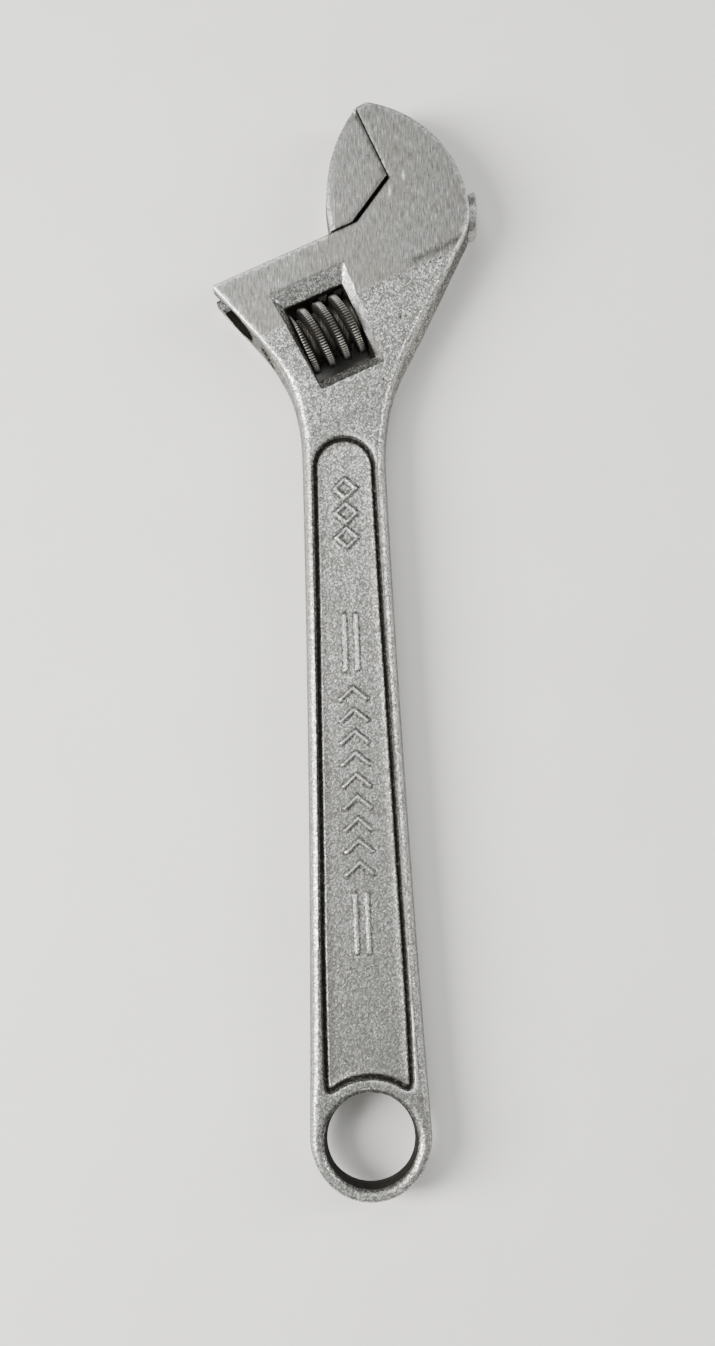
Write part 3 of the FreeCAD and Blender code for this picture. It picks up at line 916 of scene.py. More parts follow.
def offset_spots(line: np.ndarray, offsets: Sequence[float], closed: bool = True) -> np.ndarray:
    """Points beside a run at several distances, inward positive, for crisp features.

    Args:
        line: Points of the run.
        offsets: Distances from it.
        closed: Whether the run returns to its start.

    Returns:
        Points, n by 2.
    """
    normals = inward(line)
    if not closed:
        normals[[0, -1]] = normals[[1, -2]]
    return np.concatenate([line + gap * normals for gap in offsets])


# ---------------------------------------------------------------------------------------------
# The forging: handle, ring, head and fixed jaw
# ---------------------------------------------------------------------------------------------

@dataclass
class HandlePanel:
    """Recess in the handle's faces: a narrow groove round a sunk, grainy field."""

    foot_radius: float = 13.9
    foot_x: float = 6.6
    corner: tuple[float, float] = (9.5, 10.3)
    corner_ease: float = 2.5
    top_y: float = 152.2
    top_radius: float = 6.75
    sides: tuple[tuple[float, float], ...] = ((25.0, 9.4), (45.0, 9.05), (60.0, 8.65),
                                              (100.0, 7.8), (120.0, 7.3))
    field_depth: float = 0.9
    groove_extra: float = 0.55
    groove_half: float = 0.85
    bead_height: float = 0.14
    # Distances outside the groove's middle at which the face has rows of points.
    rows: tuple[float, ...] = (-0.95, -0.75, -0.58, -0.44, -0.3, -0.15, 0.0, 0.17, 0.34,
                               0.52, 0.7, 0.88, 1.1)

    def centreline(self, step: float) -> np.ndarray:
        """The groove's middle, anticlockwise, through side points joined by straight runs.

        Args:
            step: Longest spacing.

        Returns:
            Points, n by 2.
        """
        low_y = math.sqrt(self.foot_radius**2 - self.foot_x**2)
        x, y = self.corner
        right = [Corner(x, y, ease=self.corner_ease)]
        right += [Corner(side, height) for height, side in self.sides]
        top = [Corner(self.top_radius, self.top_y, self.top_radius, 1),
               Corner(0.0, self.top_y + self.top_radius, self.top_radius, 1),
               Corner(-self.top_radius, self.top_y)]
        left = [Corner(-side, height) for height, side in self.sides][::-1]
        foot = [Corner(-x, y, ease=self.corner_ease),
                Corner(-self.foot_x, low_y, self.foot_radius, -1), Corner(self.foot_x, low_y)]
        return trace([*right, *top, *left, *foot], step)

    def sink(self, outward_gap: np.ndarray) -> np.ndarray:
        """Depth below the handle's face at a distance outside the groove's middle.

        The outer bank falls over the groove's outer half, the floor dips by a bell curve,
        and the field keeps its own depth, with a low bead along its edge.

        Args:
            outward_gap: Distance outside the groove's middle, negative inside.

        Returns:
            Depth at each distance.
        """
        t = outward_gap
        bank = self.field_depth * (1 - ease_in(t, 0.15, self.groove_half))
        dip = self.groove_extra * bell(t, -0.05, 0.42)
        bead = self.bead_height * bell(t, -0.95, 0.24)
        return bank + dip - bead


@dataclass
class Ornament:
    """Plain raised pattern in the sunk field: twin bars, a row of chevrons and lozenges."""

    # Points further than margin past a stroke's ends are not measured, and count as far.
    far: float = 99.0
    margin: float = 2.0
    height: float = 0.42
    stroke: float = 0.62
    flat_top: float = 0.28
    bar_runs: tuple[tuple[float, float], ...] = ((41.0, 54.0), (105.0, 117.5))
    bar_x: tuple[float, float] = (-1.4, 1.3)
    chevrons: int = 9
    chevron_low: float = 58.5
    chevron_pitch: float = 4.95
    chevron_half: float = 2.9
    chevron_rise: float = 2.6
    lozenges: tuple[float, ...] = (135.6, 141.4, 147.2)
    lozenge_half: tuple[float, float] = (2.4, 2.2)

    def strokes(self) -> np.ndarray:
        """Straight strokes of the pattern as an array of (x0, y0, x1, y1).

        Returns:
            One row per stroke.
        """
        parts = [(x, low, x, high) for low, high in self.bar_runs for x in self.bar_x]
        for k in range(self.chevrons):
            y = self.chevron_low + k * self.chevron_pitch
            tip = y + self.chevron_rise
            parts += [(-self.chevron_half, y, 0, tip), (self.chevron_half, y, 0, tip)]
        wide, tall = self.lozenge_half
        for y in self.lozenges:
            ring = [(wide, y), (0, y + tall), (-wide, y), (0, y - tall)]
            parts += [(*a, *b) for a, b in zip(ring, [*ring[1:], ring[0]])]
        return np.array(parts, float)

    def gap(self, points: np.ndarray) -> np.ndarray:
        """Distance from each point to the nearest stroke's middle line.

        Args:
            points: Places, n by 2.

        Returns:
            One distance per place.
        """
        near = np.full(len(points), self.far)
        for x0, y0, x1, y1 in self.strokes():
            line = np.array([[x0, y0], [x1, y1]])
            box = np.abs(points[:, 1] - (y0 + y1) / 2) < abs(y1 - y0) / 2 + self.margin
            if box.any():
                near[box] = np.minimum(near[box], distance(points[box], line, closed=False))
        return near

    def rise(self, points: np.ndarray) -> np.ndarray:
        """Height of the pattern, round-topped strokes that fade into the field."""
        return self.height * (1 - ease_in(self.gap(points), self.stroke * self.flat_top,
                                          self.stroke))


@dataclass
class WormWindow:
    """Opening in the head for the worm, with a forged bevel round it. Slide frame."""

    low: tuple[float, float] = (-23.9, -30.7)
    high: tuple[float, float] = (-9.2, -11.8)
    corner_ease: float = 0.7
    bevel_depth: float = 2.2
    bevel: tuple[tuple[float, float], ...] = ((-24.3, -33.2), (-8.0, -33.2), (-6.9, -7.9),
                                              (-26.1, -7.9))
    bank_rows: tuple[float, ...] = (0.2, 0.45, 0.7, 0.9)
    wave_from: float = 0.15
    thin: float = 1e-3

    def corners(self) -> np.ndarray:
        """The inner edge's corners before they are eased, anticlockwise."""
        (x0, y0), (x1, y1) = self.low, self.high
        return np.array([(x0, y0), (x1, y0), (x1, y1), (x0, y1)])

    def opening(self, step: float) -> np.ndarray:
        """Inner edge, in the row frame."""
        eased = [Corner(u, v, ease=self.corner_ease) for u, v in self.corners()]
        return SLIDE.to_row(trace(eased, step))

    def outer(self, step: float) -> np.ndarray:
        """The bevel's outer edge, in the row frame."""
        return SLIDE.to_row(trace([Corner(u, v) for u, v in self.bevel], step))

    def banks(self, points: np.ndarray) -> np.ndarray:
        """Share of the way up each of the four banks: bottom, right, top and left.

        A bank rises from the opening's edge to the outer edge by the share
        inner gap / (inner gap + outer gap).

        Args:
            points: Places in the row frame.

        Returns:
            Array of 4 rows, one share per point, 1 at the bank's outer edge.
        """
        place = SLIDE.from_row(points)
        inner, outer = self.corners(), np.array(self.bevel)
        shares = []
        for k in range(4):
            gaps = []
            for ring in (inner, outer):
                a, b = ring[k], ring[(k + 1) % 4]
                normal = np.array([b[1] - a[1], a[0] - b[0]]) / np.hypot(*(b - a))
                gaps.append((place - a) @ normal)
            from_inner, to_outer = gaps[0], -gaps[1]
            shares.append(from_inner / np.maximum(from_inner + to_outer, self.thin))
        return np.array(shares)

    def bank_spots(self, count: int = 40) -> np.ndarray:
        """Points in rows along the four banks, in the row frame.

        Args:
            count: Points in each row.

        Returns:
            Points, n by 2.
        """
        share = np.array(self.bank_rows)[:, None, None]
        t = np.linspace(0, 1, count)[:, None]
        inner, outer = SLIDE.to_row(self.corners()), SLIDE.to_row(np.array(self.bevel))
        spots = []
        for k in range(4):
            low = inner[k] + t * (inner[(k + 1) % 4] - inner[k])
            high = outer[k] + t * (outer[(k + 1) % 4] - outer[k])
            spots.append((low + share * (high - low)).reshape(-1, 2))
        return np.concatenate(spots)

    def drop(self, points: np.ndarray) -> np.ndarray:
        """Depth of the bevel below the face, not below 0.

        The highest bank is the surface. A slow wave leaves the ragged line of a hand-dressed
        forging.

        Args:
            points: Places in the row frame.

        Returns:
            One depth per place.
        """
        share = self.banks(points).max(axis=0)
        u, v = SLIDE.from_row(points).T
        wave = 0.05 * np.sin(2.1 * u + 0.7 * v) + 0.04 * np.sin(1.3 * v - 3.7 * u)
        return np.clip(self.bevel_depth * (1 - share) + wave * (share > self.wave_from), 0, None)


@dataclass
class Survey:
    """Where each point of the forging lies, in millimetres.

    flat is its place in the plane and z its height off the mid-plane. below is its depth
    under the face. head rises from 0 to 1 on to the head. rim, groove, stroke, opening and
    grip are distances from those lines, groove being negative inside it. bank is the
    window's bank that the point is on, or -1, and low how near it is to that bank's foot.
    """

    flat: np.ndarray
    z: np.ndarray
    u: np.ndarray
    v: np.ndarray
    below: np.ndarray
    head: np.ndarray
    rim: np.ndarray
    groove: np.ndarray
    stroke: np.ndarray
    opening: np.ndarray
    grip: np.ndarray
    bank: np.ndarray
    low: np.ndarray


@dataclass(frozen=True)
class DirtShadeAndHighlight:
    """How dark the dirt and the painted shade are in each place on the forging, and how
    bright the rubbed places and painted highlights are. Groove, ground edge, smear, rim crease
    and pits are dirt; stroke feet, hanging hole, walls, gripping edges, bottom and left banks
    and the inside of the bore and window are painted shade. The bright amounts are painted
    highlights, with rubbed wear too on the handle's rim and the strokes' tops.
    """

    groove: float = 0.8
    stroke_foot_shade: float = 0.68
    hole: float = 0.85
    wall: float = 0.44
    wall_shade_on_head: float = 0.14
    ground_edge: float = 0.72
    smear: float = 0.46
    rim_crease: float = 0.6
    grip: float = 0.7
    pit: float = 0.8
    bottom_bank_shade: float = 0.75
    left_bank_shade: float = 0.6
    shade_inside: float = 0.95
    rim_wear_and_highlight: float = 0.2
    edge_highlight: float = 0.8
    lip_highlight: float = 0.6
    right_bank_highlight: float = 0.6
    top_bank_highlight: float = 0.15
    stroke_top_wear_and_highlight: float = 0.45


@dataclass
class WrenchForging:
    """The one large forging, built as a face over its outline, mirrored, then bored."""

    ring_radius: float = 13.7
    hole_radius: float = 9.8
    hole_points: int = 132
    hole_rim: tuple[float, float, float] = (0.6, 1.35, 1.3)
    neck_half: float = 9.8
    neck_y: float = 152.0
    side_radius: float = 5500.0
    handle_height: float = 5.5
    head_height: float = 7.75
    ground_v: float = -16.0
    foot_v: float = -46.0
    slope_bend: float = 0.15
    step: float = 0.6
    grid: float = 0.95
    fine_grid: float = 0.27
    bore_v: float = -7.8
    bore_radius: float = 5.3
    slot_half: float = 3.2
    slot_end_u: float = -0.7
    slot_top_v: float = 3.0
    pin_v: float = -19.4
    pin_head_radius: float = 3.24
    pin_radius: float = 2.45
    pin_shoulder_u: float = -27.0
    pin_end_u: float = -3.1
    cutter_reach: float = 60.0
    # Stands for the distance to the panel of points well above it.
    off_panel: float = 9.0
    pits: tuple[tuple[float, float, float], ...] = ((14.5, 187.0, 0.5), (10.0, 172.5, 0.35),
                                                    (-13.0, 178.0, 0.35), (-4.5, 163.0, 0.3),
                                                    (-4.9, 17.5, 0.55), (0.2, 18.2, 0.4),
                                                    (-9.9, 17.3, 0.3), (7.4, 96.0, 0.4))
    nicks: tuple[tuple[float, float], ...] = ((16.7, 221.0), (13.3, 217.2))
    # Edge sizes on the handle, and how much less they are on the ring and on the head.
    edge_draft: tuple[float, float, float] = (0.65, 0.2, 0.5)
    edge_reach: tuple[float, float, float] = (1.45, 0.45, 1.15)
    edge_drop: tuple[float, float, float] = (1.35, 0.15, 1.05)
    # Least distances of the face's points from its edges, the opening and the bevel.
    edge_gap: float = 0.25
    opening_gap: float = 0.2
    bevel_gap: float = 0.12
    back_bulge: float = 1.0
    left_bulge: float = 0.5
    panel: HandlePanel = field(default_factory=HandlePanel)
    ornament: Ornament = field(default_factory=Ornament)
    window: WormWindow = field(default_factory=WormWindow)
    dirt_shade_highlight: DirtShadeAndHighlight = field(default_factory=DirtShadeAndHighlight)

    def outline(self) -> np.ndarray:
        """The forging's outline at its mid-plane, anticlockwise from the ring's right.

        Returns:
            Points, n by 2, in the row frame.
        """
        def slide(u: float, v: float, arc: float = 0.0, turn: int = 0,
                  ease: float = 0.0) -> Corner:
            """A corner given in the slide frame."""
            x, y = SLIDE.to_row(np.array([u, v]))
            return Corner(float(x), float(y), arc, turn, ease)

        r = self.ring_radius
        return trace([
            Corner(r, 0.0, self.side_radius, -1),
            Corner(self.neck_half, self.neck_y),
            slide(-16.7, -52.6, 62.0, -1),
            slide(2.0, -30.0),
            slide(21.0, -14.1, 15.0, 1),
            slide(25.5, -8.4, 28.9, 1),
            slide(14.6, 25.9, ease=0.7),
            slide(11.43, 25.7, ease=0.45),
            slide(11.43, 6.6, ease=0.4),
            slide(0.0, 0.0, ease=0.4),
            slide(-37.5, 0.0, ease=0.8),
            slide(-32.5, -15.8, 44.0, -1),
            slide(-34.9, -45.1),
            Corner(-self.neck_half, self.neck_y, self.side_radius, -1),
            Corner(-r, 0.0, r, 1),
            Corner(0.0, -r, r, 1),
        ], self.step)

    def bulge(self, loop: np.ndarray) -> np.ndarray:
        """How far the head's forged sides swell outside the outline at the mid-plane.

        Args:
            loop: Points of the outline.

        Returns:
            One distance per point.
        """
        x, y = loop.T
        v = SLIDE.from_row(loop)[:, 1]
        back = self.back_bulge * ease_in(x, 11, 17) * (1 - ease_in(v, 18.0, 25.0))
        left = self.left_bulge * ease_in(-x, 11, 15) * (1 - ease_in(v, -21.0, -16.0))
        return (back + left) * ease_in(y, 158, 174)

    def rim(self, loop: np.ndarray) -> Rim:
        """Edge sizes round the outline: full on the ring and handle, crisp on the head.

        Args:
            loop: Points of the outline.

        Returns:
            The rim, with one size of each kind per point.
        """
        y = loop[:, 1]
        v = SLIDE.from_row(loop)[:, 1]
        ring = 1 - ease_in(y, 6.0, 17.0)
        head = ease_in(v, -30.0, -15.0)
        draft, reach, drop = (size - on_ring * ring - on_head * head for size, on_ring, on_head
                              in (self.edge_draft, self.edge_reach, self.edge_drop))
        return Rim(draft + self.bulge(loop), reach, drop)

    def base_height(self, points: np.ndarray) -> np.ndarray:
        """Height of the face without its recesses: ground head, slope, level handle.

        The slope is straight, and bends up in its first part by s^2 / (4 bend) + s / 2.

        Args:
            points: Places in the row frame.

        Returns:
            One height per place.
        """
        v = SLIDE.from_row(points)[:, 1]
        share = np.clip((v - self.foot_v) / (self.ground_v - self.foot_v), 0, 1)
        share = np.where(share < self.slope_bend, share**2 / (4 * self.slope_bend) + share / 2,
                         share)
        return self.handle_height + (self.head_height - self.handle_height) * share

    def groove_gap(self, points: np.ndarray, line: np.ndarray) -> np.ndarray:
        """Distance outside the groove's middle line, negative inside it.

        Args:
            points: Places in the row frame.
            line: The groove's middle line.

        Returns:
            One distance per place.
        """
        gap = np.full(len(points), self.off_panel)
        near = points[:, 1] < self.panel.top_y + self.panel.top_radius + 3
        reach = distance(points[near], line)
        gap[near] = np.where(inside(points[near], line), -reach, reach)
        return gap

    def face_height(self, points: np.ndarray, line: np.ndarray) -> np.ndarray:
        """Height of the whole face: base, panel, ornament and the window's bevel.

        Args:
            points: Places in the row frame.
            line: The groove's middle line.

        Returns:
            One height per place.
        """
        base = self.base_height(points)
        gap = self.groove_gap(points, line)
        raised = self.ornament.rise(points) * (gap < -1)
        return base - self.panel.sink(gap) * (gap < 1.2) + raised - self.window.drop(points)

    def spots(self, groove: np.ndarray) -> list[np.ndarray]:
        """Places that the face passes through: an even lattice, finer where it is worked.

        Args:
            groove: The groove's middle line.

        Returns:
            Groups of points, each n by 2, some of them off the face.
        """
        spread = spaced_grid((-32, -14), (34, 242), self.grid)
        spread = spread[(distance(spread, groove) > 1.3) & (self.ornament.gap(spread) > 1.1)]
        fine = spaced_grid((-4, 39), (4, 152), self.fine_grid)
        edge_u = np.arange(-40.0, 30.0, self.step)
        edge = SLIDE.to_row(np.stack([edge_u, np.full(len(edge_u), self.ground_v)], -1))
        return [spread, fine[self.ornament.gap(fine) < 1.0],
                offset_spots(groove, self.panel.rows), edge,
                *(spaced_grid((x - 1, y - 1), (x + 1, y + 1), self.fine_grid)
                  for x, y, _ in self.pits),
                *(spaced_grid((x - 0.8, y - 1.6), (x + 0.8, y + 1.6), self.fine_grid)
                  for x, y in self.nicks),
                self.window.bank_spots()]

    def half(self) -> Shell:
        """The upper half: face, outer wall, hole wall and window wall down to mid-plane.

        Returns:
            The open upper shell.
        """
        loop = self.outline()
        normals = inward(loop)
        rim = self.rim(loop)
        edge = loop + (rim.depth() - self.bulge(loop))[:, None] * normals
        groove = self.panel.centreline(self.step)

        angle = np.linspace(0, 2 * math.pi, self.hole_points, endpoint=False)[::-1]
        hole = self.hole_radius * np.stack([np.cos(angle), np.sin(angle)], -1)
        hole_rim = Rim(*(np.full(len(hole), size) for size in self.hole_rim))
        hole_edge = hole + hole_rim.depth()[:, None] * inward(hole)
        opening = self.window.opening(self.step)[::-1]
        bevel = self.window.outer(self.step)

        spot = np.concatenate(self.spots(groove))
        keep = inside(spot, edge) & ~inside(spot, hole_edge) & ~inside(spot, opening)
        for line, least in ((edge, self.edge_gap), (hole_edge, self.edge_gap),
                            (opening, self.opening_gap), (bevel, self.bevel_gap)):
            keep &= distance(spot, line) > least
        flat, triangles = triangulate([edge, hole_edge, opening], spot[keep], [bevel])
        face = level_face(flat, triangles, self.face_height(flat, groove))

        widest = loop - self.bulge(loop)[:, None] * normals
        outer_wall = sweep(rim.rows(widest, normals, self.face_height(edge, groove)))
        hole_wall = sweep(hole_rim.rows(hole, inward(hole), self.face_height(hole_edge, groove)))
        top = self.face_height(opening, groove)
        levels = np.linspace(0, 1, 4)[:, None] * top
        window_wall = sweep(np.stack([np.column_stack([opening, z]) for z in levels]))
        return face.joined(outer_wall, hole_wall, window_wall)

    def build(self) -> bpy.types.Object:
        """Make the piece: both halves welded, then the slide and the pin's holes cut.

        Returns:
            The finished piece.
        """
        half = self.half()
        shell = half.joined(half.mirrored()).welded(grain=2e-3).outward()
        piece = shell.to_object("wrench_forging")
        far = self.cutter_reach
        bore = turned(np.array([(-far, 0), (-far, self.bore_radius), (far, self.bore_radius),
                                (far, 0)], float), self.bore_v, columns=120)
        slot = block((-far, self.bore_v, -self.slot_half),
                     (self.slot_end_u, self.slot_top_v, self.slot_half))
        pin_hole = turned(np.array([
            (-far, 0), (-far, self.pin_head_radius), (self.pin_shoulder_u, self.pin_head_radius),
            (self.pin_shoulder_u, self.pin_radius), (self.pin_end_u, self.pin_radius),
            (self.pin_end_u, 0)]), self.pin_v, columns=64)
        for tool in (bore, slot, pin_hole):
            combine(piece, tool, Joining.CUT)
        finish_surface(piece, crease=32)
        self.dress(piece)
        return piece

    def survey(self, points: np.ndarray) -> Survey:
        """Measure where each point of the piece lies.

        Args:
            points: The piece's points, n by 3.

        Returns:
            The measures of every point.
        """
        flat, z = points[:, :2], np.abs(points[:, 2])
        u, v = SLIDE.from_row(flat).T
        opening = distance(flat, self.window.opening(self.step))
        banks = self.window.banks(flat)
        on_bank = (self.window.drop(flat) > 0.05) & (opening < 6) & (opening > 0.05) & (z > 5.2)
        return Survey(
            flat=flat, z=z, u=u, v=v, below=self.base_height(flat) - z,
            head=ease_in(v, -30, -15), rim=distance(flat, self.outline()),
            groove=self.groove_gap(flat, self.panel.centreline(self.step)),
            stroke=self.ornament.gap(flat), opening=opening,
            grip=distance(flat, SLIDE.to_row(np.array(GRIP)), closed=False),
            bank=np.where(on_bank, banks.argmax(axis=0), -1),
            low=np.clip(1 - banks.max(axis=0), 0, 1))

    def ground(self, at: Survey) -> np.ndarray:
        """The head's flat faces and the shelf, which are ground bright.

        Args:
            at: Where the points lie.

        Returns:
            One amount per point, from 0 to 1.
        """
        on_face = ease_in(at.z, self.head_height - 0.12, self.head_height - 0.02)
        shelf = (at.v > -0.4) & (at.u < 11.6)
        return np.maximum(on_face * ease_in(at.v, self.ground_v - 0.3, self.ground_v + 0.3),
                          shelf)

    def dirt_and_shade(self, at: Survey) -> np.ndarray:
        """Dirt in the groove, pits, rim crease, along the ground edge and in a smear, and painted
        shade in the hanging hole, over the walls, along the gripping edges, at the strokes' feet,
        low on the bottom and left banks, and inside the bore and window.

        Args:
            at: Where the points lie.

        Returns:
            One amount per point, from 0 to 1.
        """
        dirt_shade_highlight = self.dirt_shade_highlight
        hole_gap = np.hypot(*at.flat.T) - self.hole_radius
        bore_gap = np.hypot(at.v - self.bore_v, at.z)
        in_bore = (bore_gap < self.bore_radius + 0.05) & (at.u > -40) & (at.v < -1)
        in_window = (at.opening < 0.05) & (at.z < 6.2)
        pits = np.max([bell(at.flat[:, 0], x, size) * bell(at.flat[:, 1], y, size)
                       for x, y, size in self.pits], axis=0)
        return np.max([
            dirt_shade_highlight.groove * bell(at.groove, -0.08, 0.66, 4) * (at.below > 0.12) * (at.below < 2),
            # Painted shade along the feet of the strokes.
            dirt_shade_highlight.stroke_foot_shade * bell(at.stroke, 0.72, 0.25) * (at.groove < -1),
            # Painted shade on the hanging hole's wall.
            dirt_shade_highlight.hole * (hole_gap < 0.9) * ease_in(at.z, 5.0, 4.2),
            # Painted shade over the outer walls, darker on the head.
            (dirt_shade_highlight.wall + dirt_shade_highlight.wall_shade_on_head * at.head) * (at.rim < 2.2)
            * ease_in(at.below, 1.1 - 0.7 * at.head, 2.0 - 0.8 * at.head),
            dirt_shade_highlight.ground_edge * bell(at.v, self.ground_v - 0.25, 0.22) * (at.z > 7.3)
            * (at.u > -8),
            dirt_shade_highlight.smear * bell(at.v, self.ground_v + 1.8, 1.4) * ease_in(at.u, 2, 9)
            * (at.below < 0.1),
            dirt_shade_highlight.rim_crease * bell(at.rim, 2.15, 0.2) * (at.below < 0.5)
            * ease_in(at.flat[:, 1], 168, 150),
            # Painted shade along the gripping faces' edges.
            dirt_shade_highlight.grip * bell(at.grip, 0.0, 0.35) * (at.below < 0.6),
            dirt_shade_highlight.pit * pits,
            # Painted shade low on the window's bottom and left banks.
            dirt_shade_highlight.bottom_bank_shade * (at.bank == 0) * at.low
            + dirt_shade_highlight.left_bank_shade * (at.bank == 3) * at.low**0.5,
            # Painted shade inside the bore and on the window's walls.
            dirt_shade_highlight.shade_inside * (in_bore | in_window)], axis=0)

    def wear_and_highlight(self, at: Survey) -> np.ndarray:
        """Bright places: nicks, rubbed wear with painted highlight along the handle's rim and the
        strokes' tops, and painted highlights on the head's edges, the groove's right lip and the
        window's right and top banks.

        Args:
            at: Where the points lie.

        Returns:
            One amount per point, from 0 to 1.
        """
        dirt_shade_highlight = self.dirt_shade_highlight
        nicks = np.max([bell(at.flat[:, 0], x, 0.25) * bell(at.flat[:, 1], y, 0.95)
                        for x, y in self.nicks], axis=0)
        return np.max([
            nicks,
            # Rubbed wear and painted highlight in a band along the handle's rim.
            dirt_shade_highlight.rim_wear_and_highlight * bell(at.rim, 1.2, 0.6) * (1 - at.head) * (at.below < 1.5),
            # Painted highlights along the head's edges, away from the gripping faces.
            dirt_shade_highlight.edge_highlight * (at.rim < 0.55) * (at.below < 0.45) * at.head
            * ease_in(at.grip, 0.6, 1.2),
            # Painted highlight on the groove's outer lip, on the right side only.
            dirt_shade_highlight.lip_highlight * bell(at.groove, 0.95, 0.3) * (at.flat[:, 0] > 0),
            # Painted highlights on the window's right bank and on the top bank's upper part.
            dirt_shade_highlight.right_bank_highlight * (at.bank == 1),
            dirt_shade_highlight.top_bank_highlight * (at.bank == 2) * (1 - at.low),
            # Rubbed wear and painted highlight on the strokes' tops.
            dirt_shade_highlight.stroke_top_wear_and_highlight * (at.stroke < 0.3) * (at.groove < -1)], axis=0)

    def dress(self, piece: bpy.types.Object) -> None:
        """Mark ground faces, dirt with painted shade, and rubbed edges with painted
        highlights on the piece's points.

        Args:
            piece: The finished piece.
        """
        at = self.survey(points_of(piece))
        paint(piece, "ground", self.ground(at))
        paint(piece, "dirt_and_shade", self.dirt_and_shade(at))
        paint(piece, "wear_and_highlight", self.wear_and_highlight(at))


# ---------------------------------------------------------------------------------------------
# The movable jaw
# ---------------------------------------------------------------------------------------------

@dataclass
class SlidingJaw:
    """Jaw, web and slide rod in one piece, worked out in the slide frame."""

    height: float = 7.75
    step: float = 0.5
    grid: float = 1.1
    straight: tuple[tuple[float, float], ...] = ((-6.6, 0.15), (-1.14, 0.15), (11.37, 7.35),
                                                 (11.37, 25.2))
    eases: tuple[float, ...] = (0.25, 0.4, 0.4, 0.25)
    nose: Corner = Corner(10.6, 25.4, 36.3, 1, ease=0.35)
    web_low: tuple[float, float, float] = (-6.6, -7.8, -3.0)
    web_high: tuple[float, float, float] = (-1.14, 1.15, 3.0)
    rod_v: float = -7.8
    rod_radius: float = 5.2
    rod_left: float = -16.8
    rod_cut: tuple[float, float] = (27.4, -9.0)
    rod_chamfer: float = 0.45
    pitch: float = 4.0
    rack_first: float = -16.5
    rack_spaces: int = 10
    floor_gap: float = 3.5
    floor_half: float = 0.7
    flank_slope: float = 2.7 / 1.165
    lean_degrees: float = 5.2
    rack_end: float = 22.0
    past_rack: tuple[float, ...] = (22.0, 24.0, 29.0)
    edge_gap: float = 0.4

    def outline(self) -> np.ndarray:
        """The jaw's outline in the row frame, anticlockwise."""
        corners = [Corner(u, v, ease=ease) for (u, v), ease in zip(self.straight, self.eases)]
        return SLIDE.to_row(trace([*corners, self.nose], self.step))

    def rim(self, loop: np.ndarray) -> Rim:
        """A dressed edge on the curved back, and crisp edges elsewhere.

        Args:
            loop: Points of the outline.

        Returns:
            The rim, with one size of each kind per point.
        """
        straight = SLIDE.to_row(np.array(self.straight))
        back = ease_in(distance(loop, straight, closed=False), 0.2, 1.5)
        return Rim(0.03 + 0.27 * back, 0.14 + 0.76 * back, 0.14 + 0.6 * back, stop=60.0)

    def plate(self) -> Shell:
        """The jaw as two flat faces with a wall and edge round them.

        Returns:
            The closed plate.
        """
        loop = self.outline()
        normals = inward(loop)
        rim = self.rim(loop)
        edge = loop + rim.depth()[:, None] * normals
        spot = spaced_grid((-8, 200), (20, 242), self.grid)
        spot = spot[inside(spot, edge)]
        spot = spot[distance(spot, edge) > self.edge_gap]
        flat, triangles = triangulate([edge], spot)
        face = level_face(flat, triangles, np.full(len(flat), self.height))
        half = face.joined(sweep(rim.rows(loop, normals, np.full(len(loop), self.height))))
        return half.joined(half.mirrored()).welded(grain=1e-3).outward()

    def rod(self) -> Shell:
        """Slide rod with its rack.

        The radius at (u, angle) is the smaller of the rod's and gap(u') / cos(angle), where
        angle is from straight down, gap is the rack's own depth profile, and u' = u - z
        tan(lean) follows the slanted spaces. Rows are held inside the two end planes, and
        rings on the slanted end close it.

        Returns:
            The closed rod.
        """
        quarter = np.radians(np.concatenate([np.arange(0, 60, 1.5), np.arange(60, 180, 6)]))
        angle = np.concatenate([-quarter[:0:-1], quarter, [math.pi]])
        local = np.array([-1.99, -1.6, -1.44, -1.38, -1.2, -0.95, -0.74, -0.66, -0.35, 0.0])
        local = np.concatenate([local, -local[-2::-1]])
        starts = self.rack_first + self.pitch * np.arange(self.rack_spaces)
        u0 = np.concatenate([[self.rod_left - 1.0, self.rod_left - 0.5],
                             (starts[:, None] + local).ravel(), self.past_rack])
        lean = math.tan(math.radians(self.lean_degrees))
        cut = math.tan(math.radians(SLIDE.degrees))

        def radius_at(place: np.ndarray) -> np.ndarray:
            """Distance from the axis of the rack's surface or the rod's, by slanted place.

            Args:
                place: Places u' along the rod, rows by angles.

            Returns:
                One distance per place.
            """
            k = np.clip(np.round((place - self.rack_first) / self.pitch), 0,
                        self.rack_spaces - 1)
            across = np.abs(place - self.rack_first - k * self.pitch)
            gap = self.floor_gap + np.maximum(across - self.floor_half, 0) * self.flank_slope
            below = np.maximum(np.cos(angle), 1e-3)
            return np.minimum(self.rod_radius, gap / below)

        radius = radius_at(u0[:, None] + 0 * angle)
        z = radius * np.sin(angle)
        u = u0[:, None] + lean * z
        v = self.rod_v - radius * np.cos(angle)
        last = self.rod_cut[0] + (v - self.rod_cut[1]) * cut
        u = np.clip(u, self.rod_left, last)
        radius = radius_at(u - lean * z)
        to_end = np.minimum(u - self.rod_left, last - u)
        radius = np.minimum(radius, self.rod_radius - self.rod_chamfer
                            + np.maximum(to_end, 0))
        rows = np.stack([u, self.rod_v - radius * np.cos(angle), radius * np.sin(angle)], -1)
        near = rows[0].copy()
        near[:, 1:] = (self.rod_v, 0)

        def end_ring(size: float, back: float) -> np.ndarray:
            """Ring of a radius, a distance back along the rod from its slanted end.

            Args:
                size: The ring's radius.
                back: Distance from the slanted end.

            Returns:
                One point (u, v, z) per angle.
            """
            height = self.rod_v - size * np.cos(angle)
            place = self.rod_cut[0] - back + cut * (height - self.rod_cut[1])
            return np.stack([place, height, size * np.sin(angle)], -1)

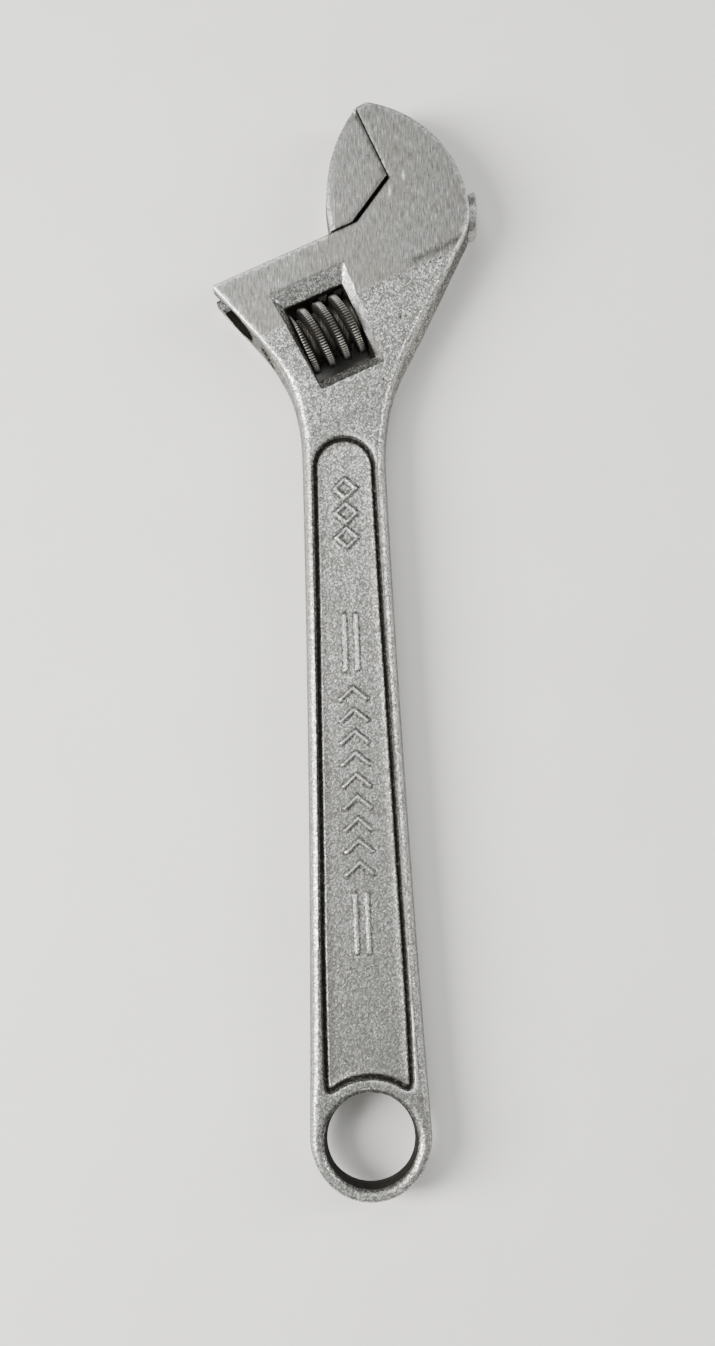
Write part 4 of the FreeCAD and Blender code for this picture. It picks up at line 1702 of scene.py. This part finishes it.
        ends = [end_ring(self.rod_radius, self.rod_chamfer),
                end_ring(self.rod_radius - self.rod_chamfer, 0.0), end_ring(0.0, 0.0)]
        rows = np.concatenate([near[None], rows[:-1], ends])
        return sweep(SLIDE.to_row(rows)).welded().outward()

    def build(self) -> bpy.types.Object:
        """Make the piece: plate, web and rod joined.

        Returns:
            The finished piece.
        """
        piece = self.plate().to_object("sliding_jaw")
        combine(piece, block(self.web_low, self.web_high), Joining.ADD)
        combine(piece, self.rod(), Joining.ADD)
        finish_surface(piece, crease=30)
        self.dress(piece)
        return piece

    def dress(self, piece: bpy.types.Object) -> None:
        """Mark ground faces, a painted highlight on the curved back edge, painted shade on
        the walls and along the gripping edges, and dirt on the rod and rack.

        Args:
            piece: The finished piece.
        """
        points = points_of(piece)
        flat, z = points[:, :2], np.abs(points[:, 2])
        u, v = SLIDE.from_row(flat).T
        on_jaw = v > 0
        curve = run_between(self.nose, Corner(*self.straight[0]), self.step)
        curve_gap = distance(flat, SLIDE.to_row(curve), closed=False)
        # Painted highlight along the curved back edge of the jaw.
        back = ease_in(curve_gap, 1.25, 1.0) * on_jaw \
            * ease_in(z, self.height - 1.2, self.height - 0.7)
        # Painted shade over the jaw's walls below its faces.
        wall = 0.5 * ease_in(z, self.height - 0.9, self.height - 1.5)
        grip = distance(flat, SLIDE.to_row(np.array(GRIP)), closed=False)
        # Painted shade along the jaw's gripping edges.
        line = 0.7 * bell(grip, 0.0, 0.35) * (z > self.height - 0.6)
        end = ease_in(u, self.rack_end, self.rack_end + 3)
        from_axis = np.hypot(v - self.rod_v, points[:, 2])
        in_rack = ease_in(from_axis, self.rod_radius - 0.15, self.rod_radius - 0.6) \
            * (v < -9) * (u < self.rack_end)
        paint(piece, "ground", np.where(on_jaw, 1.0, 0.7))
        paint(piece, "dirt_and_shade", np.where(on_jaw, np.maximum(wall, line), 0.45 * (1 - end))
              + 0.35 * in_rack)
        paint(piece, "wear_and_highlight", np.maximum(0.9 * back, 0.3 * end))


# ---------------------------------------------------------------------------------------------
# The worm
# ---------------------------------------------------------------------------------------------

@dataclass
class KnurledWorm:
    """Right-hand single-start worm with notched crests, in the slide frame."""

    axis_v: float = -19.4
    left: float = -23.7
    right: float = -9.4
    crest_radius: float = 7.8
    root_radius: float = 5.6
    crest_half: float = 0.625
    root_half: float = 0.425
    lead: float = 4.0
    crest_at: float = -12.5
    end_chamfer: float = 0.25
    bore_radius: float = 2.5
    spring_radius: float = 3.8
    spring_depth: float = 5.9
    bore_chamfer: float = 0.3
    spring_chamfer: float = 0.2
    notches: int = 70
    notch_depth: float = 0.45
    steps_per_notch: int = 6

    def thread(self, q: np.ndarray) -> np.ndarray:
        """Radius at a distance q along the axis from a crest's middle.

        Straight flanks join crest and root, and both corners are eased by a smooth step.

        Args:
            q: Distances along the axis from a crest's middle.

        Returns:
            One radius per distance.
        """
        q = np.abs((q + self.lead / 2) % self.lead - self.lead / 2)
        foot = self.lead / 2 - self.root_half
        share = np.clip((q - self.crest_half) / (foot - self.crest_half), 0, 1)
        share = 0.75 * share + 0.25 * share * share * (3 - 2 * share)
        rounding = 0.10 * ease_in(q, self.crest_half - 0.3, self.crest_half) * (share <= 0)
        return self.crest_radius - rounding - (self.crest_radius - self.root_radius) * share

    def notch(self, angle: np.ndarray) -> np.ndarray:
        """Depth of the straight knurl, depth (1 - |sin|): V notches between round teeth."""
        turn = angle * self.notches / 2
        return self.notch_depth * (1 - np.abs(np.sin(turn)))

    def shell(self) -> Shell:
        """The closed worm.

        Rows follow the helix u = row + lead * angle / 2 pi, so that every edge of the thread
        lies along a row, and are held between the end planes. The end faces, the bore and
        the spring's counterbore carry on from the last row back to the first.

        Returns:
            The closed shell, in the row frame.
        """
        local = np.array([-2.0, -1.7, -1.575, -1.42, -1.15, -0.9, -0.74, -0.64, -0.6, -0.48,
                          -0.25, 0.0])
        local = np.concatenate([local, -local[-2:0:-1]])
        first = math.floor((self.left - self.lead - self.crest_at) / self.lead) - 1
        last = math.ceil((self.right - self.crest_at) / self.lead) + 1
        base = (self.crest_at + self.lead * np.arange(first, last)[:, None] + local).ravel()
        spare = 0.6
        base = base[(base > self.left - self.lead - spare) & (base < self.right + spare)]
        angle = np.linspace(0, 2 * math.pi, self.notches * self.steps_per_notch + 1)
        u = np.clip(base[:, None] + self.lead * angle / (2 * math.pi), self.left, self.right)
        u[0], u[-1] = self.left, self.right
        q = u - self.crest_at - self.lead * angle / (2 * math.pi)
        radius = self.thread(q)
        high = ease_in(radius, self.crest_radius - 0.9, self.crest_radius - 0.35)
        radius = radius - self.notch(angle) * high
        to_end = np.minimum(u - self.left, self.right - u)
        radius = np.minimum(radius, self.crest_radius - self.end_chamfer + to_end)
        ends = [(self.right, self.bore_radius + self.bore_chamfer),
                (self.right - self.bore_chamfer, self.bore_radius),
                (self.left + self.spring_depth, self.bore_radius),
                (self.left + self.spring_depth, self.spring_radius),
                (self.left + self.spring_chamfer, self.spring_radius),
                (self.left, self.spring_radius + self.spring_chamfer)]
        for place, size in ends:
            u = np.vstack([u, np.full(len(angle), place)])
            radius = np.vstack([radius, np.full(len(angle), size)])
        rows = np.stack([u, self.axis_v + radius * np.cos(angle), radius * np.sin(angle)], -1)
        return sweep(SLIDE.to_row(rows), closed_rows=True,
                     closed_columns=False).welded(grain=5e-4).outward()

    def build(self) -> bpy.types.Object:
        """Make the piece.

        Returns:
            The finished piece.
        """
        piece = self.shell().to_object("knurled_worm")
        finish_surface(piece, crease=38)
        self.dress(piece)
        return piece

    def dress(self, piece: bpy.types.Object) -> None:
        """Mark the rubbed crests, and the oil between them.

        Args:
            piece: The finished piece.
        """
        points = points_of(piece)
        v = SLIDE.from_row(points[:, :2])[:, 1]
        radius = np.hypot(v - self.axis_v, points[:, 2])
        crest = ease_in(radius, self.crest_radius - 0.36, self.crest_radius - 0.12)
        depth = 1 - ease_in(radius, self.root_radius - 0.1, self.crest_radius - 0.5)
        root = bell(radius, self.root_radius, 0.12)
        paint(piece, "wear_and_highlight", crest)
        paint(piece, "dirt_and_shade", 0.85 * (1 - crest) - 0.35 * root * depth)


# ---------------------------------------------------------------------------------------------
# Pin and spring, which keep the CAD's own shapes
# ---------------------------------------------------------------------------------------------

@dataclass
class WormMount:
    """The worm's pin and its spring, dressed as they come from the CAD."""

    pin: str = "worm_pin"
    spring: str = "pin_spring"

    def dress(self, nodes: dict[str, bpy.types.Object], pin_finish: bpy.types.Material,
              spring_finish: bpy.types.Material) -> None:
        """Put the finishes on the two CAD nodes.

        Args:
            nodes: The CAD nodes by name.
            pin_finish: The pin's material.
            spring_finish: The spring's material.
        """
        for name, finish in ((self.pin, pin_finish), (self.spring, spring_finish)):
            node = nodes[name]
            node.data.materials.clear()
            node.data.materials.append(finish)
            log.info("%s keeps its CAD shape and takes %s", name, finish.name)


# ---------------------------------------------------------------------------------------------
# Studio
# ---------------------------------------------------------------------------------------------

@dataclass(frozen=True)
class SoftBox:
    """A soft box, placed and sized in millimetres."""

    name: str
    place: tuple[float, float, float]
    width: float
    height: float
    watts: float
    colour: str = "#FFFFFF"

    def hang(self, aim: Sequence[float]) -> None:
        """Make the lamp and turn it to face its aim.

        Args:
            aim: Place that it faces, in millimetres.
        """
        lamp = bpy.data.lights.new(self.name, "AREA")
        lamp.shape = "RECTANGLE"
        lamp.size, lamp.size_y = self.width * MILLIMETRE, self.height * MILLIMETRE
        lamp.energy, lamp.color = self.watts, linear(self.colour)[:3]
        holder = bpy.data.objects.new(self.name, lamp)
        bpy.context.scene.collection.objects.link(holder)
        holder.location = Vector(self.place) * MILLIMETRE
        toward = (Vector(aim) - Vector(self.place)).normalized()
        holder.rotation_mode = "QUATERNION"
        holder.rotation_quaternion = toward.to_track_quat("-Z", "Y")


@dataclass
class Studio:
    """Pale floor, soft light and the camera."""

    floor_z: float = -7.75
    floor_size: float = 3000.0
    floor_middle: tuple[float, float] = (0.0, 110.0)
    camera_x: float = -0.42
    camera_y: float = 65.27
    camera_height: float = 353.0
    tilt_degrees: float = 6.5
    up: tuple[float, float] = (0.0407, 0.9992)
    lens: float = 40.1
    sensor: float = 36.0
    clip: tuple[float, float] = (0.01, 20.0)
    world_colour: str = "#E9EDF2"
    world_strength: float = 0.22
    aim: tuple[float, float, float] = (0, 120, 0)
    boxes: tuple[SoftBox, ...] = (
        SoftBox("left_box", (-560, 60, 500), 240, 560, 15.0),
        SoftBox("front_box", (40, -460, 520), 460, 240, 1.0),
        SoftBox("right_box", (620, 240, 520), 240, 460, 4.0, "#FBFCFF"),
        SoftBox("top_box", (-100, 470, 720), 360, 300, 2.5, "#FBFCFF"))

    def lay_floor(self) -> None:
        """A square board under the wrench."""
        half = self.floor_size / 2
        corners = np.array([(-half, -half), (half, -half), (half, half), (-half, half)], float)
        corners += self.floor_middle
        points = np.column_stack([corners, np.full(4, self.floor_z)])
        floor = Shell(points, np.array([[0, 1, 2], [0, 2, 3]])).to_object("floor")
        floor.data.materials.append(FloorFinish().build())

    def light(self) -> None:
        """Even dim sky, a strong box on the left and three weaker ones round the rest."""
        world = bpy.data.worlds.new("studio_air")
        bpy.context.scene.world = world
        world.use_nodes = True
        sky = world.node_tree.nodes["Background"]
        sky.inputs["Color"].default_value = linear(self.world_colour)
        sky.inputs["Strength"].default_value = self.world_strength
        for box in self.boxes:
            box.hang(self.aim)

    def place_camera(self) -> None:
        """Camera over the handle, leaning a little towards the head."""
        tilt = math.radians(self.tilt_degrees)
        ahead = Vector((*self.up, 0)).normalized()
        forward = ahead * math.sin(tilt) + Vector((0, 0, -math.cos(tilt)))
        upward = ahead * math.cos(tilt) + Vector((0, 0, math.sin(tilt)))
        right = forward.cross(upward)
        lens = bpy.data.cameras.new("camera")
        lens.lens, lens.sensor_width, lens.sensor_fit = self.lens, self.sensor, "AUTO"
        lens.clip_start, lens.clip_end = self.clip
        holder = bpy.data.objects.new("camera", lens)
        bpy.context.scene.collection.objects.link(holder)
        place = Vector((self.camera_x, self.camera_y, self.floor_z + self.camera_height))
        turn = Matrix((right, upward, -forward)).transposed().to_4x4()
        holder.matrix_world = Matrix.Translation(place * MILLIMETRE) @ turn
        bpy.context.scene.camera = holder


# ---------------------------------------------------------------------------------------------
# Build
# ---------------------------------------------------------------------------------------------

def seat(piece: bpy.types.Object, body: str, node: str,
         finish: bpy.types.Material) -> None:
    """Give a new piece its finish, its body and the CAD node that it stands for.

    Args:
        piece: The new piece.
        body: CAD body that it moves with.
        node: CAD node that it replaces.
        finish: Material.
    """
    piece.data.materials.clear()
    piece.data.materials.append(finish)
    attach(piece, body)
    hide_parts(node)
    log.info("%s: %d points, %d faces, rides on %s", piece.name, len(piece.data.vertices),
             len(piece.data.polygons), body)


def main() -> None:
    """Build every piece, dress it, and set up the studio."""
    logging.basicConfig(level=logging.INFO, format="%(name)s: %(message)s")
    satin = SteelFinish("satin_plated_forged_steel")
    jaw = SteelFinish("satin_plated_ground_steel")
    seat(WrenchForging().build(), "wrench_body", "forged_body", satin.build())
    seat(SlidingJaw().build(), "jaw", "movable_jaw", jaw.build())
    seat(KnurledWorm().build(), "worm", "adjusting_worm",
         OiledSteelFinish("oiled_turned_steel").build())
    WormMount().dress(frame["nodes"], OiledSteelFinish("oiled_pin_steel").build(),
                      OiledSteelFinish("oiled_spring_steel").build())
    studio = Studio()
    studio.lay_floor()
    studio.light()
    studio.place_camera()


if __name__ == "__main__":
    main()
